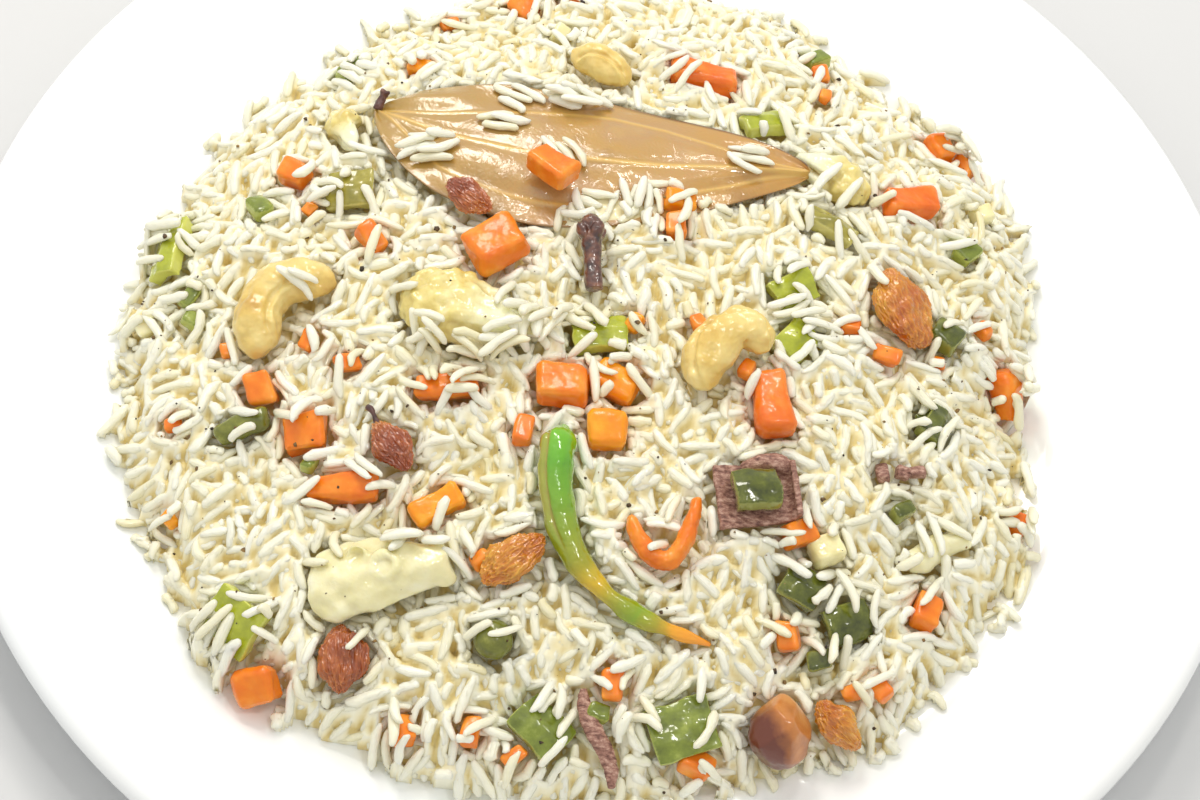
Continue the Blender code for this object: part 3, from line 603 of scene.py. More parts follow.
for azimuth, rise, reach in NUT_FLATS:
    azimuth, rise = math.radians(azimuth), math.radians(rise)
    way = np.array([math.cos(azimuth) * math.cos(rise), math.sin(azimuth) * math.cos(rise), math.sin(rise)])
    beyond = np.maximum(((spots - middle) / half_size) @ way - reach, 0)
    spots = spots - 0.85 * beyond[:, None] * way * half_size
move_points(nut.data, spots)
scorch = head_side(spots, math.radians(215))
paint(nut, "toast", 0.55 * np.clip((scorch - 0.45) / 0.4, 0, 1))
settled(nut, toast_finish, "toasted_nut", care=2)


# ---------------------------------------------------------------- raisins
# Golden raisins swollen by frying: amber skins with sharp lengthwise wrinkles, glossy and painted lighter on
# their ridges, with painted shade, dark red, in their folds.
# Some are drawn in to pointed ends, and one still has its stalk.


def raisin_finish(name, fold_shade_and_dark_tone, skin, light):
    """Swollen raisin: thin glossy skin over syrupy amber flesh."""
    made, tree, shader = finish_of(
        name,
        Roughness=0.22,
        IOR=1.47,
        Subsurface_Weight=0.3,
        Subsurface_Scale=1.2 * MM,
        Subsurface_Radius=(1.0, 0.5, 0.1),
        Coat_Weight=1.0,
        Coat_Roughness=0.06,
    )
    coords = add(tree, "TexCoord", out="Object")
    cloud = add(tree, "TexNoise", {"Vector": coords, "Scale": 90.0, "Detail": 1.0})
    ridge = add(tree, "Attribute", out="Fac", attribute_name="ridge")
    # Painted light and shade: the raised ridges are painted lighter and the folds between them darker, over a
    # random tone.
    tone = add(tree, "Math", {0: ridge, 1: 0.22, 2: cloud}, operation="MULTIPLY_ADD")
    tint = add(tree, "ValToRGB", {"Fac": tone}, stops=((0.38, fold_shade_and_dark_tone), (0.60, skin), (0.82, light)))
    feed(shader, Base_Color=tint)
    course = add(tree, "Attribute", out="Vector", attribute_name="course")
    fine = add(
        tree, "TexNoise", {"Vector": course, "Scale": 1.5, "Detail": 2.0, "Distortion": 0.4},
        noise_type="RIDGED_MULTIFRACTAL",
    )
    grain = add(tree, "Bump", {"Height": fine, "Strength": 0.85, "Distance": 0.40 * MM})
    feed(shader, Normal=grain, Coat_Normal=grain)
    return made


golden = raisin_finish("swollen_raisin_amber", "#B4580A", "#D08418", "#E0A634")
red_brown = raisin_finish("swollen_raisin_brown", "#8E3C0A", "#AE5A18", "#C88434")
raisin_looks = {1: golden, 2: golden, 3: red_brown, 4: red_brown, 5: red_brown, 6: golden}
RAISIN_PINCH = {1: 0.0, 2: 0.10, 3: 0.34, 4: 0.34, 5: 0.20, 6: 0.15}
RAISIN_SPREAD = {1: 0.16}


def long_axis(points):
    return np.linalg.eigh(np.cov((points - points.mean(axis=0)).T))[1][:, 2]


for number, finish in raisin_looks.items():
    node = f"raisin_{number}"
    fruit = copy_of(node, f"raisin_swollen_{number}")
    apply(fruit, "SUBSURF", levels=4, render_levels=4)
    roughen(fruit, soft_lumps, 2.2)
    spots, facing = points_of(fruit.data), normals_of(fruit.data)
    middle, axis = spots.mean(axis=0), long_axis(spots)
    ridges = np.empty(len(spots))
    for index, spot in enumerate(spots - middle):
        along = float(spot @ axis)
        place = Vector((spot - 0.76 * along * axis) / (1.0 * MM)) + Vector((7.1 * number, 0, 0))
        broad = 1 - 2.4 * abs(noise.noise(place))
        narrow = 1 - 2.4 * abs(noise.noise(place * 1.9))
        ridges[index] = 0.55 * max(broad, 0) ** 2 + 0.45 * max(narrow, 0) ** 2
    pointed = ((spots - middle) @ axis) / np.abs((spots - middle) @ axis).max()
    pinched = spots - middle
    tapered = RAISIN_PINCH[number] * np.clip((np.abs(pointed) - 0.35) / 0.65, 0, 1)
    narrowing = -RAISIN_SPREAD.get(number, 0) + tapered
    pinched = pinched - narrowing[:, None] * (pinched - np.outer(pinched @ axis, axis))
    move_points(fruit.data, middle + pinched + facing * ((ridges - 0.35) * 0.62 * MM)[:, None])
    paint(fruit, "ridge", ridges)
    drawn = (spots - middle - 0.8 * np.outer((spots - middle) @ axis, axis)) / MM
    course = fruit.data.attributes.new("course", "FLOAT_VECTOR", "POINT")
    course.data.foreach_set("vector", drawn.astype(np.float32).ravel())
    settled(fruit, finish, node, care=2)

# The stalk end left on one raisin: a dark hooked stub, woody and dull.
stub, tree, shader = finish_of("dried_stalk", Roughness=0.5, Coat_Weight=0.3, Coat_Roughness=0.2)
coords = add(tree, "TexCoord", out="Object")
cloud = add(tree, "TexNoise", {"Vector": coords, "Scale": 600.0, "Detail": 3.0})
tint = add(tree, "ValToRGB", {"Fac": cloud}, stops=((0.35, "#3A1F1E"), (0.55, "#5E3A34"), (0.75, "#85604E")))
feed(shader, Base_Color=tint)
stalked = points_of(bpy.data.objects["raisin_swollen_3"].data)
tip = stalked[(stalked[:, 0] - stalked[:, 1]).argmin()] / MM
hook = (tip + (1.0, -1.2, 0.2), tip + (0.2, 0.2, 0.6), tip + (-0.6, 1.6, 0.9), tip + (-2.2, 2.6, 1.0))
raisin_stalk = laid_along("raisin_stalk", hook, (0.9, 0.6, 0.5, 0.8), (0.8, 0.55, 0.5, 0.7), 8)[0]
reskin(raisin_stalk, 0.2)
roughen(raisin_stalk, fine_lumps, 0.6)
settled(raisin_stalk, stub, care=2)


# ---------------------------------------------------------------- bay leaf
# One dried Indian bay leaf, fried soft: 95 mm long, thin, khaki brown and glossy with oil. Three pale veins
# run from stalk to tip, and the blade swells a little between them. It lies across the far side of the
# heap.

LEAF_COLUMNS, LEAF_ROWS = 260, 84
SPINE = np.array([(-57, 42.5), (-35, 31), (-5, 30), (38.2, 37.8)]) * MM


def spine_at(u):
    """Points of the leaf's middle line, u from stalk to tip, and the way across it towards the diner."""
    weights = np.stack([(1 - u) ** 3, 3 * u * (1 - u) ** 2, 3 * u * u * (1 - u), u**3], axis=-1)
    slopes = np.stack([(1 - u) ** 2, 2 * u * (1 - u), u * u], axis=-1) @ np.diff(SPINE, axis=0)
    slopes /= np.linalg.norm(slopes, axis=-1, keepdims=True)
    return weights @ SPINE, np.stack([slopes[..., 1], -slopes[..., 0]], axis=-1)


leaf = primitive(
    "grid", "bay_leaf_blade", x_subdivisions=LEAF_COLUMNS, y_subdivisions=LEAF_ROWS, size=1.0, calc_uvs=True
)
spots = points_of(leaf.data)
u, v = spots[:, 0] + 0.5, spots[:, 1] * -2
wide_far = 17.4 * np.maximum(np.sin(np.pi * u**0.85), 0) ** 0.56
wide_near = 18.8 * np.maximum(np.sin(np.pi * u**0.92), 0) ** 0.80
half_width = (np.where(v < 0, wide_far, wide_near) + 0.25) * MM
line, across = spine_at(u)
plan = line + across * (v * half_width)[:, None]
cad_leaf = BVHTree.FromObject(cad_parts["bay_leaf"], bpy.context.evaluated_depsgraph_get())
lift = np.full(len(plan), 36 * MM)
for index, (x, y) in enumerate(plan):
    height = drop(cad_leaf, x, y)
    if height is None:
        nearest = cad_leaf.find_nearest(Vector((x, y, lift[index - 1])))
        height = nearest[0].z
    lift[index] = height
blade = lift.reshape(LEAF_ROWS + 1, LEAF_COLUMNS + 1)
for _ in range(60):
    padded = np.pad(blade, 1, mode="edge")
    beside = padded[2:, 1:-1] + padded[:-2, 1:-1] + padded[1:-1, 2:] + padded[1:-1, :-2]
    blade = 0.5 * blade + 0.125 * beside
stations = np.array([0.0, 0.05, 0.25, 0.42, 0.63, 0.74, 0.86, 1.0])
far_vein = np.interp(u, stations, [-0.05, -0.14, -0.40, -0.56, -0.68, -0.66, -0.46, -0.1])
near_vein = np.interp(u, stations, [0.05, 0.20, 0.64, 0.70, 0.70, 0.66, 0.50, 0.1])
middle_vein = 0.09 * np.sin(np.pi * u)
reach = half_width / MM
veins = np.zeros(len(u))
creases = np.zeros(len(u))
for course, breadth, strength in ((middle_vein, 0.55, 1.0), (far_vein, 0.40, 0.85), (near_vein, 0.40, 0.85)):
    off = np.abs(v - course) * reach
    veins = np.maximum(veins, strength * np.exp(-((off / breadth) ** 2)))
    creases = np.maximum(creases, np.exp(-((off / 2.2) ** 2)))
swell = 0.55 * (1 - creases) * (1 - v * v)
ripples = np.array([noise.noise(Vector((6.0 * a, 2.2 * b, 3.0))) for a, b in zip(u, v)])
curl = 0.5 * np.abs(v) ** 5 * np.sin(9 * u + 1.5 * v)
fall = np.clip((v - middle_vein) / (near_vein - middle_vein + 0.01), 0, 1) * np.clip((u - 0.35) / 0.15, 0, 1)
height = blade.ravel() + (swell + 0.9 * ripples + curl + 0.22 * veins - 0.3 - 1.4 * fall) * MM
move_points(leaf.data, np.column_stack([plan, height]))
paint(leaf, "vein", veins)
far_edge = np.clip((u - 0.45) / 0.3, 0.15, 1)
paint(leaf, "rim", np.clip((np.abs(v) - 0.93) / 0.07, 0, 1) * np.where(v < 0, far_edge, 0.4))
clean(leaf, gap=0.001 * MM)
apply(leaf, "SOLIDIFY", thickness=0.35 * MM, offset=-1.0)

# Oiled dry leaf: leathery, khaki brown, olive where it is greener, with pale gold veins, a dark edge and
# high gloss.
oiled, tree, shader = finish_of(
    "oiled_bay_leaf",
    Roughness=0.30,
    IOR=1.47,
    Coat_Weight=1.0,
    Coat_Roughness=0.06,
    Coat_IOR=1.55,
    Subsurface_Weight=0.08,
    Subsurface_Scale=0.5 * MM,
)
sheet = add(tree, "UVMap", uv_map="UVMap")
coords = add(tree, "TexCoord", out="Object")
cloud = add(tree, "TexNoise", {"Vector": coords, "Scale": 55.0, "Detail": 4.0})
blade_tint = add(
    tree, "ValToRGB", {"Fac": cloud},
    stops=((0.28, "#90692F"), (0.44, "#BC924A"), (0.56, "#B8905A"), (0.70, "#C6A25E"), (0.84, "#A49044")),
)
ends = add(tree, "SeparateXYZ", {"Vector": sheet})
greener = add(tree, "MapRange", {"Value": ends, "From Min": 0.55, "From Max": 0.05, "To Max": 0.60})
olive_mix = add(
    tree, "Mix", {"Factor": greener, 6: blade_tint, 7: "#A48536"}, out=2, data_type="RGBA"
)
tip = add(tree, "MapRange", {"Value": ends, "From Min": 0.72, "From Max": 1.0, "To Max": 0.65})
olive_mix = add(tree, "Mix", {"Factor": tip, 6: olive_mix, 7: "#C48E3C"}, out=2, data_type="RGBA")
rim_share = add(tree, "Attribute", out="Fac", attribute_name="rim")
rimmed = add(tree, "Mix", {"Factor": rim_share, 6: olive_mix, 7: "#5A371C"}, out=2, data_type="RGBA")
vein_share = add(tree, "Attribute", out="Fac", attribute_name="vein")
veined = add(tree, "Mix", {"Factor": vein_share, 6: rimmed, 7: "#DDB45E"}, out=2, data_type="RGBA")
feed(shader, Base_Color=veined)
net = add(tree, "TexVoronoi", {"Vector": coords, "Scale": 900.0}, feature="DISTANCE_TO_EDGE")
bump = add(tree, "Bump", {"Height": net, "Strength": 0.22, "Distance": 0.3 * MM})
feed(shader, Normal=bump)
crinkle = add(tree, "TexNoise", {"Vector": coords, "Scale": 260.0, "Detail": 4.0, "Distortion": 0.8})
film = add(tree, "Bump", {"Height": crinkle, "Strength": 0.55, "Distance": 0.7 * MM})
feed(shader, Coat_Normal=film)
settled(leaf, oiled, "bay_leaf", care=2)

# The leaf's broken stalk end: a dark stub, woody and dull.
stalk = primitive("cylinder", "bay_leaf_stalk", vertices=16, radius=1.0 * MM, depth=4.6 * MM)
root_x, root_y = SPINE[0] + np.array((0.6, 0.6)) * MM
stalk.data.transform(Matrix.Rotation(math.radians(-62), 4, "X"))
stalk.data.transform(Matrix.Rotation(math.radians(-18), 4, "Z"))
root_z = height.reshape(LEAF_ROWS + 1, -1)[LEAF_ROWS // 2, 3]
stalk.data.transform(Matrix.Translation((root_x, root_y + 1.2 * MM, root_z + 0.8 * MM)))
reskin(stalk, 0.25)
roughen(stalk, fine_lumps, 1.2)
settled(stalk, stub, care=2)


# ---------------------------------------------------------------- green chilli
# One whole small chilli, slit part way along one side, bent over the near slope of the heap. Its skin is
# waxy and tight, bright green that ripens to yellow and an orange tip, with a cut blunt stalk end.

CHILLI = np.array([(-6.2, -34.6), (-10.4, -52), (0.8, -73.5), (28, -72.5)]) * MM
chilli = copy_of("green_chilli", "green_chilli_whole")
apply(chilli, "SUBSURF", levels=3, render_levels=3)
soften(chilli, 6)
spots, facing = points_of(chilli.data), normals_of(chilli.data)
t = np.linspace(0, 1, 200)
weights = np.stack([(1 - t) ** 3, 3 * t * (1 - t) ** 2, 3 * t * t * (1 - t), t**3], axis=-1)
route = weights @ CHILLI
headings = np.gradient(route, axis=0)
headings /= np.linalg.norm(headings, axis=1, keepdims=True)
away = spots[:, None, :2] - route[None]
nearest = np.argmin((away**2).sum(axis=2), axis=1)
ripeness = t[nearest]
offset = away[np.arange(len(spots)), nearest]
left = headings[nearest][:, 1] * -offset[:, 0] + headings[nearest][:, 0] * offset[:, 1]
radius = (0.9 + 3.8 * (1 - ripeness) ** 0.7) * MM
side = -left / radius
slit = np.exp(-(((side - 0.62) / 0.11) ** 2)) * np.clip((0.50 - ripeness) / 0.1, 0, 1) * (facing[:, 2] > 0)
band = np.clip((side - 0.60) / 0.10, 0, 1) * np.clip((0.46 - ripeness) / 0.12, 0, 1)
knobs = np.array([noise.noise(Vector((11.0 * a, 0.4, 2.0))) for a in ripeness])
dents = np.array([noise.noise(Vector(spot) / (4.6 * MM)) for spot in spots])
neck = 0.16 * np.exp(-(((ripeness - 0.14) / 0.06) ** 2))
waist = 0.90 - neck + 0.6 * np.clip((ripeness - 0.78) / 0.2, 0, 1)
spots[:, :2] = route[nearest] + offset * waist[:, None]
move_points(chilli.data, spots + facing * ((0.9 * knobs + 0.45 * dents - 0.8 * slit) * MM)[:, None])
paint(chilli, "ripe", ripeness)
paint(chilli, "slit", np.maximum(slit, 0.75 * band))

# Waxy chilli skin: saturated green to orange along its length, mirror-like in small spots, paler in the
# slit.
waxy, tree, shader = finish_of(
    "waxy_chilli_skin",
    Roughness=0.20,
    IOR=1.45,
    Coat_Weight=1.0,
    Coat_Roughness=0.05,
    Subsurface_Weight=0.15,
    Subsurface_Scale=1.0 * MM,
    Subsurface_Radius=(1.0, 1.0, 0.15),
)
coords = add(tree, "TexCoord", out="Object")
ripe = add(tree, "Attribute", out="Fac", attribute_name="ripe")
cloud = add(tree, "TexNoise", {"Vector": coords, "Scale": 140.0, "Detail": 2.0})
shift = add(tree, "MapRange", {"Value": cloud, "To Min": -0.07, "To Max": 0.07})
along = add(tree, "Math", {0: ripe, 1: shift}, operation="ADD")
skin_tint = add(
    tree, "ValToRGB", {"Fac": along},
    stops=(
        (0.0, "#76BA1A"), (0.20, "#60A814"), (0.38, "#7CA018"), (0.54, "#989A18"), (0.63, "#D2AE12"),
        (0.71, "#949A18"), (0.79, "#86A418"), (0.85, "#AC9E1A"), (0.90, "#E6A214"), (1.0, "#F29420"),
    ),
)
cut_share = add(tree, "Attribute", out="Fac", attribute_name="slit")
opened = add(
    tree, "Mix", {"Factor": cut_share, 6: skin_tint, 7: "#A89C3C"}, out=2, data_type="RGBA"
)
feed(shader, Base_Color=opened)
dimple = add(tree, "TexNoise", {"Vector": coords, "Scale": 300.0, "Detail": 2.0})
bump = add(tree, "Bump", {"Height": dimple, "Strength": 0.80, "Distance": 0.6 * MM})
feed(shader, Normal=bump, Coat_Normal=bump)
settled(chilli, waxy, "green_chilli", care=2)


# ---------------------------------------------------------------- clove
# One whole clove: a dried flower bud with a tapered stem, four pointed sepals spread round it and a round
# bud held between them. It is hard, wrinkled and dark brown, and lies bud end up the slope.

cad_clove = points_of(copy_of("clove", "clove_guide").data)
bpy.data.objects.remove(bpy.data.objects["clove_guide"])
clove_axis = long_axis(cad_clove)
clove_axis = clove_axis * (1 if clove_axis[1] > 0 else -1)
clove_middle = (cad_clove.max(axis=0) + cad_clove.min(axis=0)) / 2
reach = (cad_clove - clove_middle) @ clove_axis
CLOVE_LENGTH = reach.max() - reach.min()
clove = primitive("cylinder", "clove_bud", vertices=16, radius=1.75 * MM, depth=0.74 * CLOVE_LENGTH)
bpy.ops.transform.translate(value=(0, 0, -0.13 * CLOVE_LENGTH))
bpy.ops.object.transform_apply(location=True)
bpy.ops.object.mode_set(mode="EDIT")
bpy.ops.mesh.select_all(action="SELECT")
bpy.ops.mesh.subdivide(number_cuts=6)
bpy.ops.object.mode_set(mode="OBJECT")
spots = points_of(clove.data)
low_end, high_end = spots[:, 2].min(), spots[:, 2].max()
up = (spots[:, 2] - low_end) / (high_end - low_end)
girth = 0.92 + 0.20 * up**1.5 + 0.08 * np.sin(9 * up)
spots[:, :2] *= girth[:, None]
spots[:, 0] *= 1.12
move_points(clove.data, spots)
sepals = []
for quarter in range(4):
    sepal = primitive("uv_sphere", "clove_sepal", segments=16, ring_count=12, radius=1.35 * MM)
    sepal.data.transform(Matrix.Diagonal((0.72, 1.1, 1.45, 1.0)))
    sepal.data.transform(Matrix.Rotation(math.radians(24), 4, "Y"))
    sepal.data.transform(Matrix.Translation((2.35 * MM, 0, high_end + 0.2 * MM)))
    sepal.data.transform(Matrix.Rotation(math.radians(90 * quarter + 40), 4, "Z"))
    sepals.append(sepal)
bud = primitive("uv_sphere", "clove_ball", segments=20, ring_count=14, radius=2.3 * MM)
bud.data.transform(Matrix.Translation((0, 0, high_end + 2.2 * MM)))
join(clove, *sepals, bud)
turn = Vector((0, 0, 1)).rotation_difference(Vector(clove_axis)).to_matrix().to_4x4()
clove.data.transform(Matrix.Translation(clove_middle) @ turn)
reskin(clove, 0.22, 2)
roughen(clove, fine_lumps, 0.45)

# Dried clove: woody and oily, chocolate brown mottled with lighter brown, with a dull sheen.
woody, tree, shader = finish_of(
    "dried_clove", Roughness=0.30, IOR=1.5, Coat_Weight=1.0, Coat_Roughness=0.09, Coat_IOR=1.6
)
coords = add(tree, "TexCoord", out="Object")
cloud = add(tree, "TexNoise", {"Vector": coords, "Scale": 420.0, "Detail": 4.0})
tint = add(tree, "ValToRGB", {"Fac": cloud}, stops=((0.34, "#2C0E08"), (0.54, "#5E2E1C"), (0.76, "#96603C")))
feed(shader, Base_Color=tint)
wrinkle = add(tree, "TexNoise", {"Vector": coords, "Scale": 1400.0, "Detail": 3.0})
bump = add(tree, "Bump", {"Height": wrinkle, "Strength": 0.6, "Distance": 0.4 * MM})
feed(shader, Normal=bump)
glaze = add(tree, "TexNoise", {"Vector": coords, "Scale": 520.0, "Detail": 2.0})
oily = add(tree, "Bump", {"Height": glaze, "Strength": 0.6, "Distance": 0.7 * MM})
feed(shader, Coat_Normal=oily)
settled(clove, woody, "clove", care=2)


# ---------------------------------------------------------------- cinnamon bark
# A broken plate of cinnamon bark with one edge rolled over, and a thin twisted strip of the same bark at
# the heap's foot. Dry bark, fibrous along its length, purplish brown.

bark, tree, shader = finish_of(
    "dry_cinnamon_bark", Roughness=0.55, IOR=1.45, Coat_Weight=0.15, Coat_Roughness=0.3
)
coords = add(tree, "TexCoord", out="Object")
fibres = add(
    tree, "Mapping", {"Vector": coords, "Rotation": (0, 0, math.radians(-14)), "Scale": (1.0, 2.2, 1.0)}
)
streak = add(tree, "TexNoise", {"Vector": fibres, "Scale": 620.0, "Detail": 5.0, "Roughness": 0.7})
tint = add(tree, "ValToRGB", {"Fac": streak}, stops=((0.34, "#5E3830"), (0.50, "#9C7060"), (0.66, "#D0AA98")))
feed(shader, Base_Color=tint)
bump = add(tree, "Bump", {"Height": streak, "Strength": 0.7, "Distance": 0.5 * MM})
feed(shader, Normal=bump)
for node, name in (("cinnamon_bark", "cinnamon_bark_plate"), ("bark_strip", "cinnamon_bark_strip")):
    piece = copy_of(node, name)
    apply(piece, "BEVEL", width=0.3 * MM, segments=2, limit_method="ANGLE")
    if node == "cinnamon_bark":
        top = points_of(piece.data)[:, 2].min() + 2.0 * MM
        course = ((29.5, -37.2, 0.9), (33.0, -36.0, 2.0), (37.0, -35.6, 2.3), (40.6, -37.6, 1.4))
        course = [(x, y, top / MM + z) for x, y, z in course]
        curl = laid_along("bark_curl", course, (0.9, 1.7, 1.9, 1.2), (0.8, 1.5, 1.7, 1.0), fullness=8)[0]
        join(piece, curl)
    reskin(piece, 0.3, 3)
    roughen(piece, fine_lumps, 0.5)
    settled(piece, bark, node, care=2)


# ---------------------------------------------------------------- the heap's form
# The heap as heights over a grid of half-millimetre cells: the plate's face, the heap's own surface, and a
# lower heap inside it on which the first loose grains are laid. Every loose piece finds its place on this
# grid.

CELL = 0.5 * MM
MARGIN = 12 * MM
CORE_DEPTH = 4.0 * MM
heap_low, heap_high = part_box("rice_heap")
GRID_X = int((heap_high[0] - heap_low[0] + 2 * MARGIN) / CELL)
GRID_Y = int((heap_high[1] - heap_low[1] + 2 * MARGIN) / CELL)
CORNER_X, CORNER_Y = heap_low[0] - MARGIN, heap_low[1] - MARGIN
cell_x = CORNER_X + CELL * np.arange(GRID_X)
cell_y = CORNER_Y + CELL * np.arange(GRID_Y)


def cells_between(low, high, corner, count):
    """The first cell and the end of a stretch of the grid along one axis."""
    return max(0, int((low - corner) / CELL)), min(count, int((high - corner) / CELL) + 2)


def skyline(obj, down=True):
    """Heights of an object's upper or lower surface over the grid, and not a number where it has none."""
    surface = BVHTree.FromObject(obj, bpy.context.evaluated_depsgraph_get())
    spots = points_of(obj.data)
    found = np.full((GRID_X, GRID_Y), np.nan)
    low, high = spots.min(axis=0), spots.max(axis=0)
    for i in range(*cells_between(low[0], high[0], CORNER_X, GRID_X)):
        for j in range(*cells_between(low[1], high[1], CORNER_Y, GRID_Y)):
            height = drop(surface, cell_x[i], cell_y[j], down)
            if height is not None:
                found[i, j] = height
    return found


def spread_low(heights, cells):
    """Each cell takes the lowest height within that many cells."""
    for axis in (0, 1):
        shifted = [np.roll(heights, k, axis=axis) for k in range(-cells, cells + 1)]
        heights = np.minimum.reduce(shifted)
    return heights


def blurred(heights, times):
    for _ in range(times):
        for axis in (0, 1):
            heights = (np.roll(heights, 1, axis=axis) + heights + np.roll(heights, -1, axis=axis)) / 3
    return heights


plate_height = skyline(plate)
plate_height = np.where(np.isnan(plate_height), FLANGE_TOP, plate_height)
heap_height = skyline(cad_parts["rice_heap"])
in_heap = ~np.isnan(heap_height)
ceiling = np.where(in_heap, heap_height, plate_height)
core_height = blurred(spread_low(ceiling, 5), 12) - CORE_DEPTH
core_height = np.maximum(core_height, plate_height - 1.0 * MM)


# ---------------------------------------------------------------- small bits
# The small change among the rice: carrot and pepper ends of 3 to 7 mm, cauliflower crumbs and slivers of
# bark. Each kind is one joined piece, and every bit is half sunk in the heap's surface.

rng = np.random.default_rng(11)


def height_at(grid, x, y):
    i = np.clip(((np.asarray(x) - CORNER_X) / CELL).round().astype(int), 0, GRID_X - 1)
    j = np.clip(((np.asarray(y) - CORNER_Y) / CELL).round().astype(int), 0, GRID_Y - 1)
    return grid[i, j]


def bits(name, spots, finish, flatness=0.75, care=1):
    """Rough knife-cut bits at (x, y, size) in mm, half sunk in the heap and joined into one piece."""
    made = []
    for x, y, size in spots:
        bit = primitive("cube", name, size=1.0)
        skew = 1 + rng.uniform(-0.16, 0.16, (8, 3))
        shape = np.array([size * rng.uniform(0.95, 1.3), size * rng.uniform(0.7, 0.95), size * flatness]) * MM
        move_points(bit.data, points_of(bit.data) * skew * shape)
        apply(bit, "BEVEL", width=0.14 * size * MM, segments=2)
        tip_x, tip_y = rng.uniform(-0.35, 0.35), rng.uniform(-0.35, 0.35)
        lean = Matrix.Rotation(tip_x, 4, "X") @ Matrix.Rotation(tip_y, 4, "Y")
        heading = Matrix.Rotation(rng.uniform(0, math.pi), 4, "Z")
        surface = float(height_at(ceiling, x * MM, y * MM))
        place = Matrix.Translation((x * MM, y * MM, surface + (0.12 * size * flatness + 0.3) * MM))
        bit.data.transform(place @ heading @ lean)
        made.append(bit)
    joined = made[0]
    join(*made)
    reskin(joined, 0.35, 2)
    roughen(joined, soft_lumps, 0.9)
    paint(joined, "skin", (normals_of(joined.data)[:, 2] > 0.6).astype(float))
    settled(joined, finish, care=care)


bits(
    "carrot_bits",
    (
        (-72, 24, 6.4), (-67, 14, 3.2), (-52, 6, 5.6), (-46, 76, 4), (-19, 88, 5), (-30, 84, 6.2),
        (40, 75, 4), (41, 66, 3.2), (75, 60, 5.6), (-61, -19, 4), (-69, -30, 6.2), (-52, -24, 4.2),
        (-86, -38, 3.6), (-14, -36, 5), (29, -15, 3.6), (43, -48, 5.6), (80, 12, 4.2), (70, 0, 3),
        (58, -3, 4.6), (50, 1, 3.6), (-19, -63, 4), (-29, -96, 5.4), (-16, -95, 5), (-7, -98, 4),
        (63, -74, 4.6), (57, -76, 3.6), (-78, -21, 3), (18, -6, 3.8), (11, 17, 5.0), (71, -56, 6.2),
        (43, -68, 5.8), (10, -83, 5.6), (28, -94, 6.2), (90, -30, 4.8), (69, 62, 6.2),
    ),
    orange,
)
bits("carrot_core_bits", ((-50, 58, 4.6), (11, 24, 6), (-83, -57, 3.4), (5, -8, 3.4)), amber)
bits(
    "pepper_bits",
    (
        (-78, 15, 4.6), (-66, 60, 6), (39, 80, 5), (75, 30, 5), (-89, -7, 4.4), (-87, -13, 4), (-56, -46, 4),
        (8, -88, 4.4),
    ),
    leaf_green,
)
bits("pepper_dark_bits", ((71, 6, 6.4), (50, -71, 5), (64, -38, 4.4), (68, -14, 4)), dark)
bits(
    "cauliflower_crumbs", ((-97, -14, 4), (79, 44, 4.4), (49, -50, 6), (-20, 72, 5)),
    stalk_finish,
)
bits("bark_sliver", ((59, -31, 3.0), (63, -30, 3.2), (66, -29, 2.8)), bark, 0.8, care=2)


# ---------------------------------------------------------------- laying the rice
# Cooked basmati: separate slender grains 6 to 10 mm long and about 2 mm thick, and broken ones half as
# long. Each grain is laid on what is already there, leaning on its highest props, until the heap has its
# full shape. Here they are only places and sizes, and the section on rice grains makes them.

ALONG = np.linspace(-1, 1, 15)
ACROSS = np.array([-0.75, 0.0, 0.75])
SAG = np.sqrt(1 - ACROSS**2)
CHOICES = 40
TRIES = 6
SPREAD = 1.8
LENGTHS = (7.0, 10.5)

# For each cell: the height so far, the heading and the number of the grain on top, the care of the topping
# over it, and that topping's underside and top.
height = np.maximum(core_height, plate_height)
lie = rng.uniform(0, math.pi, (GRID_X, GRID_Y))
owner = np.full((GRID_X, GRID_Y), -1)
guard = np.zeros((GRID_X, GRID_Y), int)
lid = np.full((GRID_X, GRID_Y), 1.0)
cover = np.full((GRID_X, GRID_Y), -1.0)
for piece, care in toppings:
    top, bottom = skyline(piece), skyline(piece, down=False)
    there = ~np.isnan(top)
    guard[there] = np.maximum(guard[there], care)
    cover[there] = np.maximum(cover[there], top[there])
    lid[there] = np.minimum(lid[there], np.where(np.isnan(bottom[there]), top[there], bottom[there]))
grains = []


def rest_on(x, y, heading, half, thick, props_at, sink, tilt):
    """How grains would lie: the cells under them, and the height and slope at which each is held up."""
    cos, sin = np.cos(heading)[:, None, None], np.sin(heading)[:, None, None]
    s = ALONG[None] * half[:, None] * 0.97
    off = (ACROSS * thick[:, None])[:, None]
    px = x[:, None, None] + s[:, :, None] * cos - off * sin
    py = y[:, None, None] + s[:, :, None] * sin + off * cos
    base = (height_at(height, px, py) + thick[:, None, None] * SAG).max(axis=2)
    slope = np.clip((base * s).sum(axis=1) / (s * s).sum(axis=1) + tilt, -0.9, 0.9)
    props = np.sort(base - slope[:, None] * s, axis=1)
    rest = props[:, props_at] - sink * MM
    return s, px, py, base, slope, rest


def keep(x, y, rest, heading, slope, half, thick, s, base, over, short):
    """Adds a grain. Its soft ends droop towards what is under them."""
    droop = np.clip(0.5 * (rest + slope * s[[0, -1]] - base[[0, -1]]), 0, 0.16 * half)
    grains.append((x, y, rest, heading, slope, half, thick, *droop, over, short))
    mark(grains[-1])


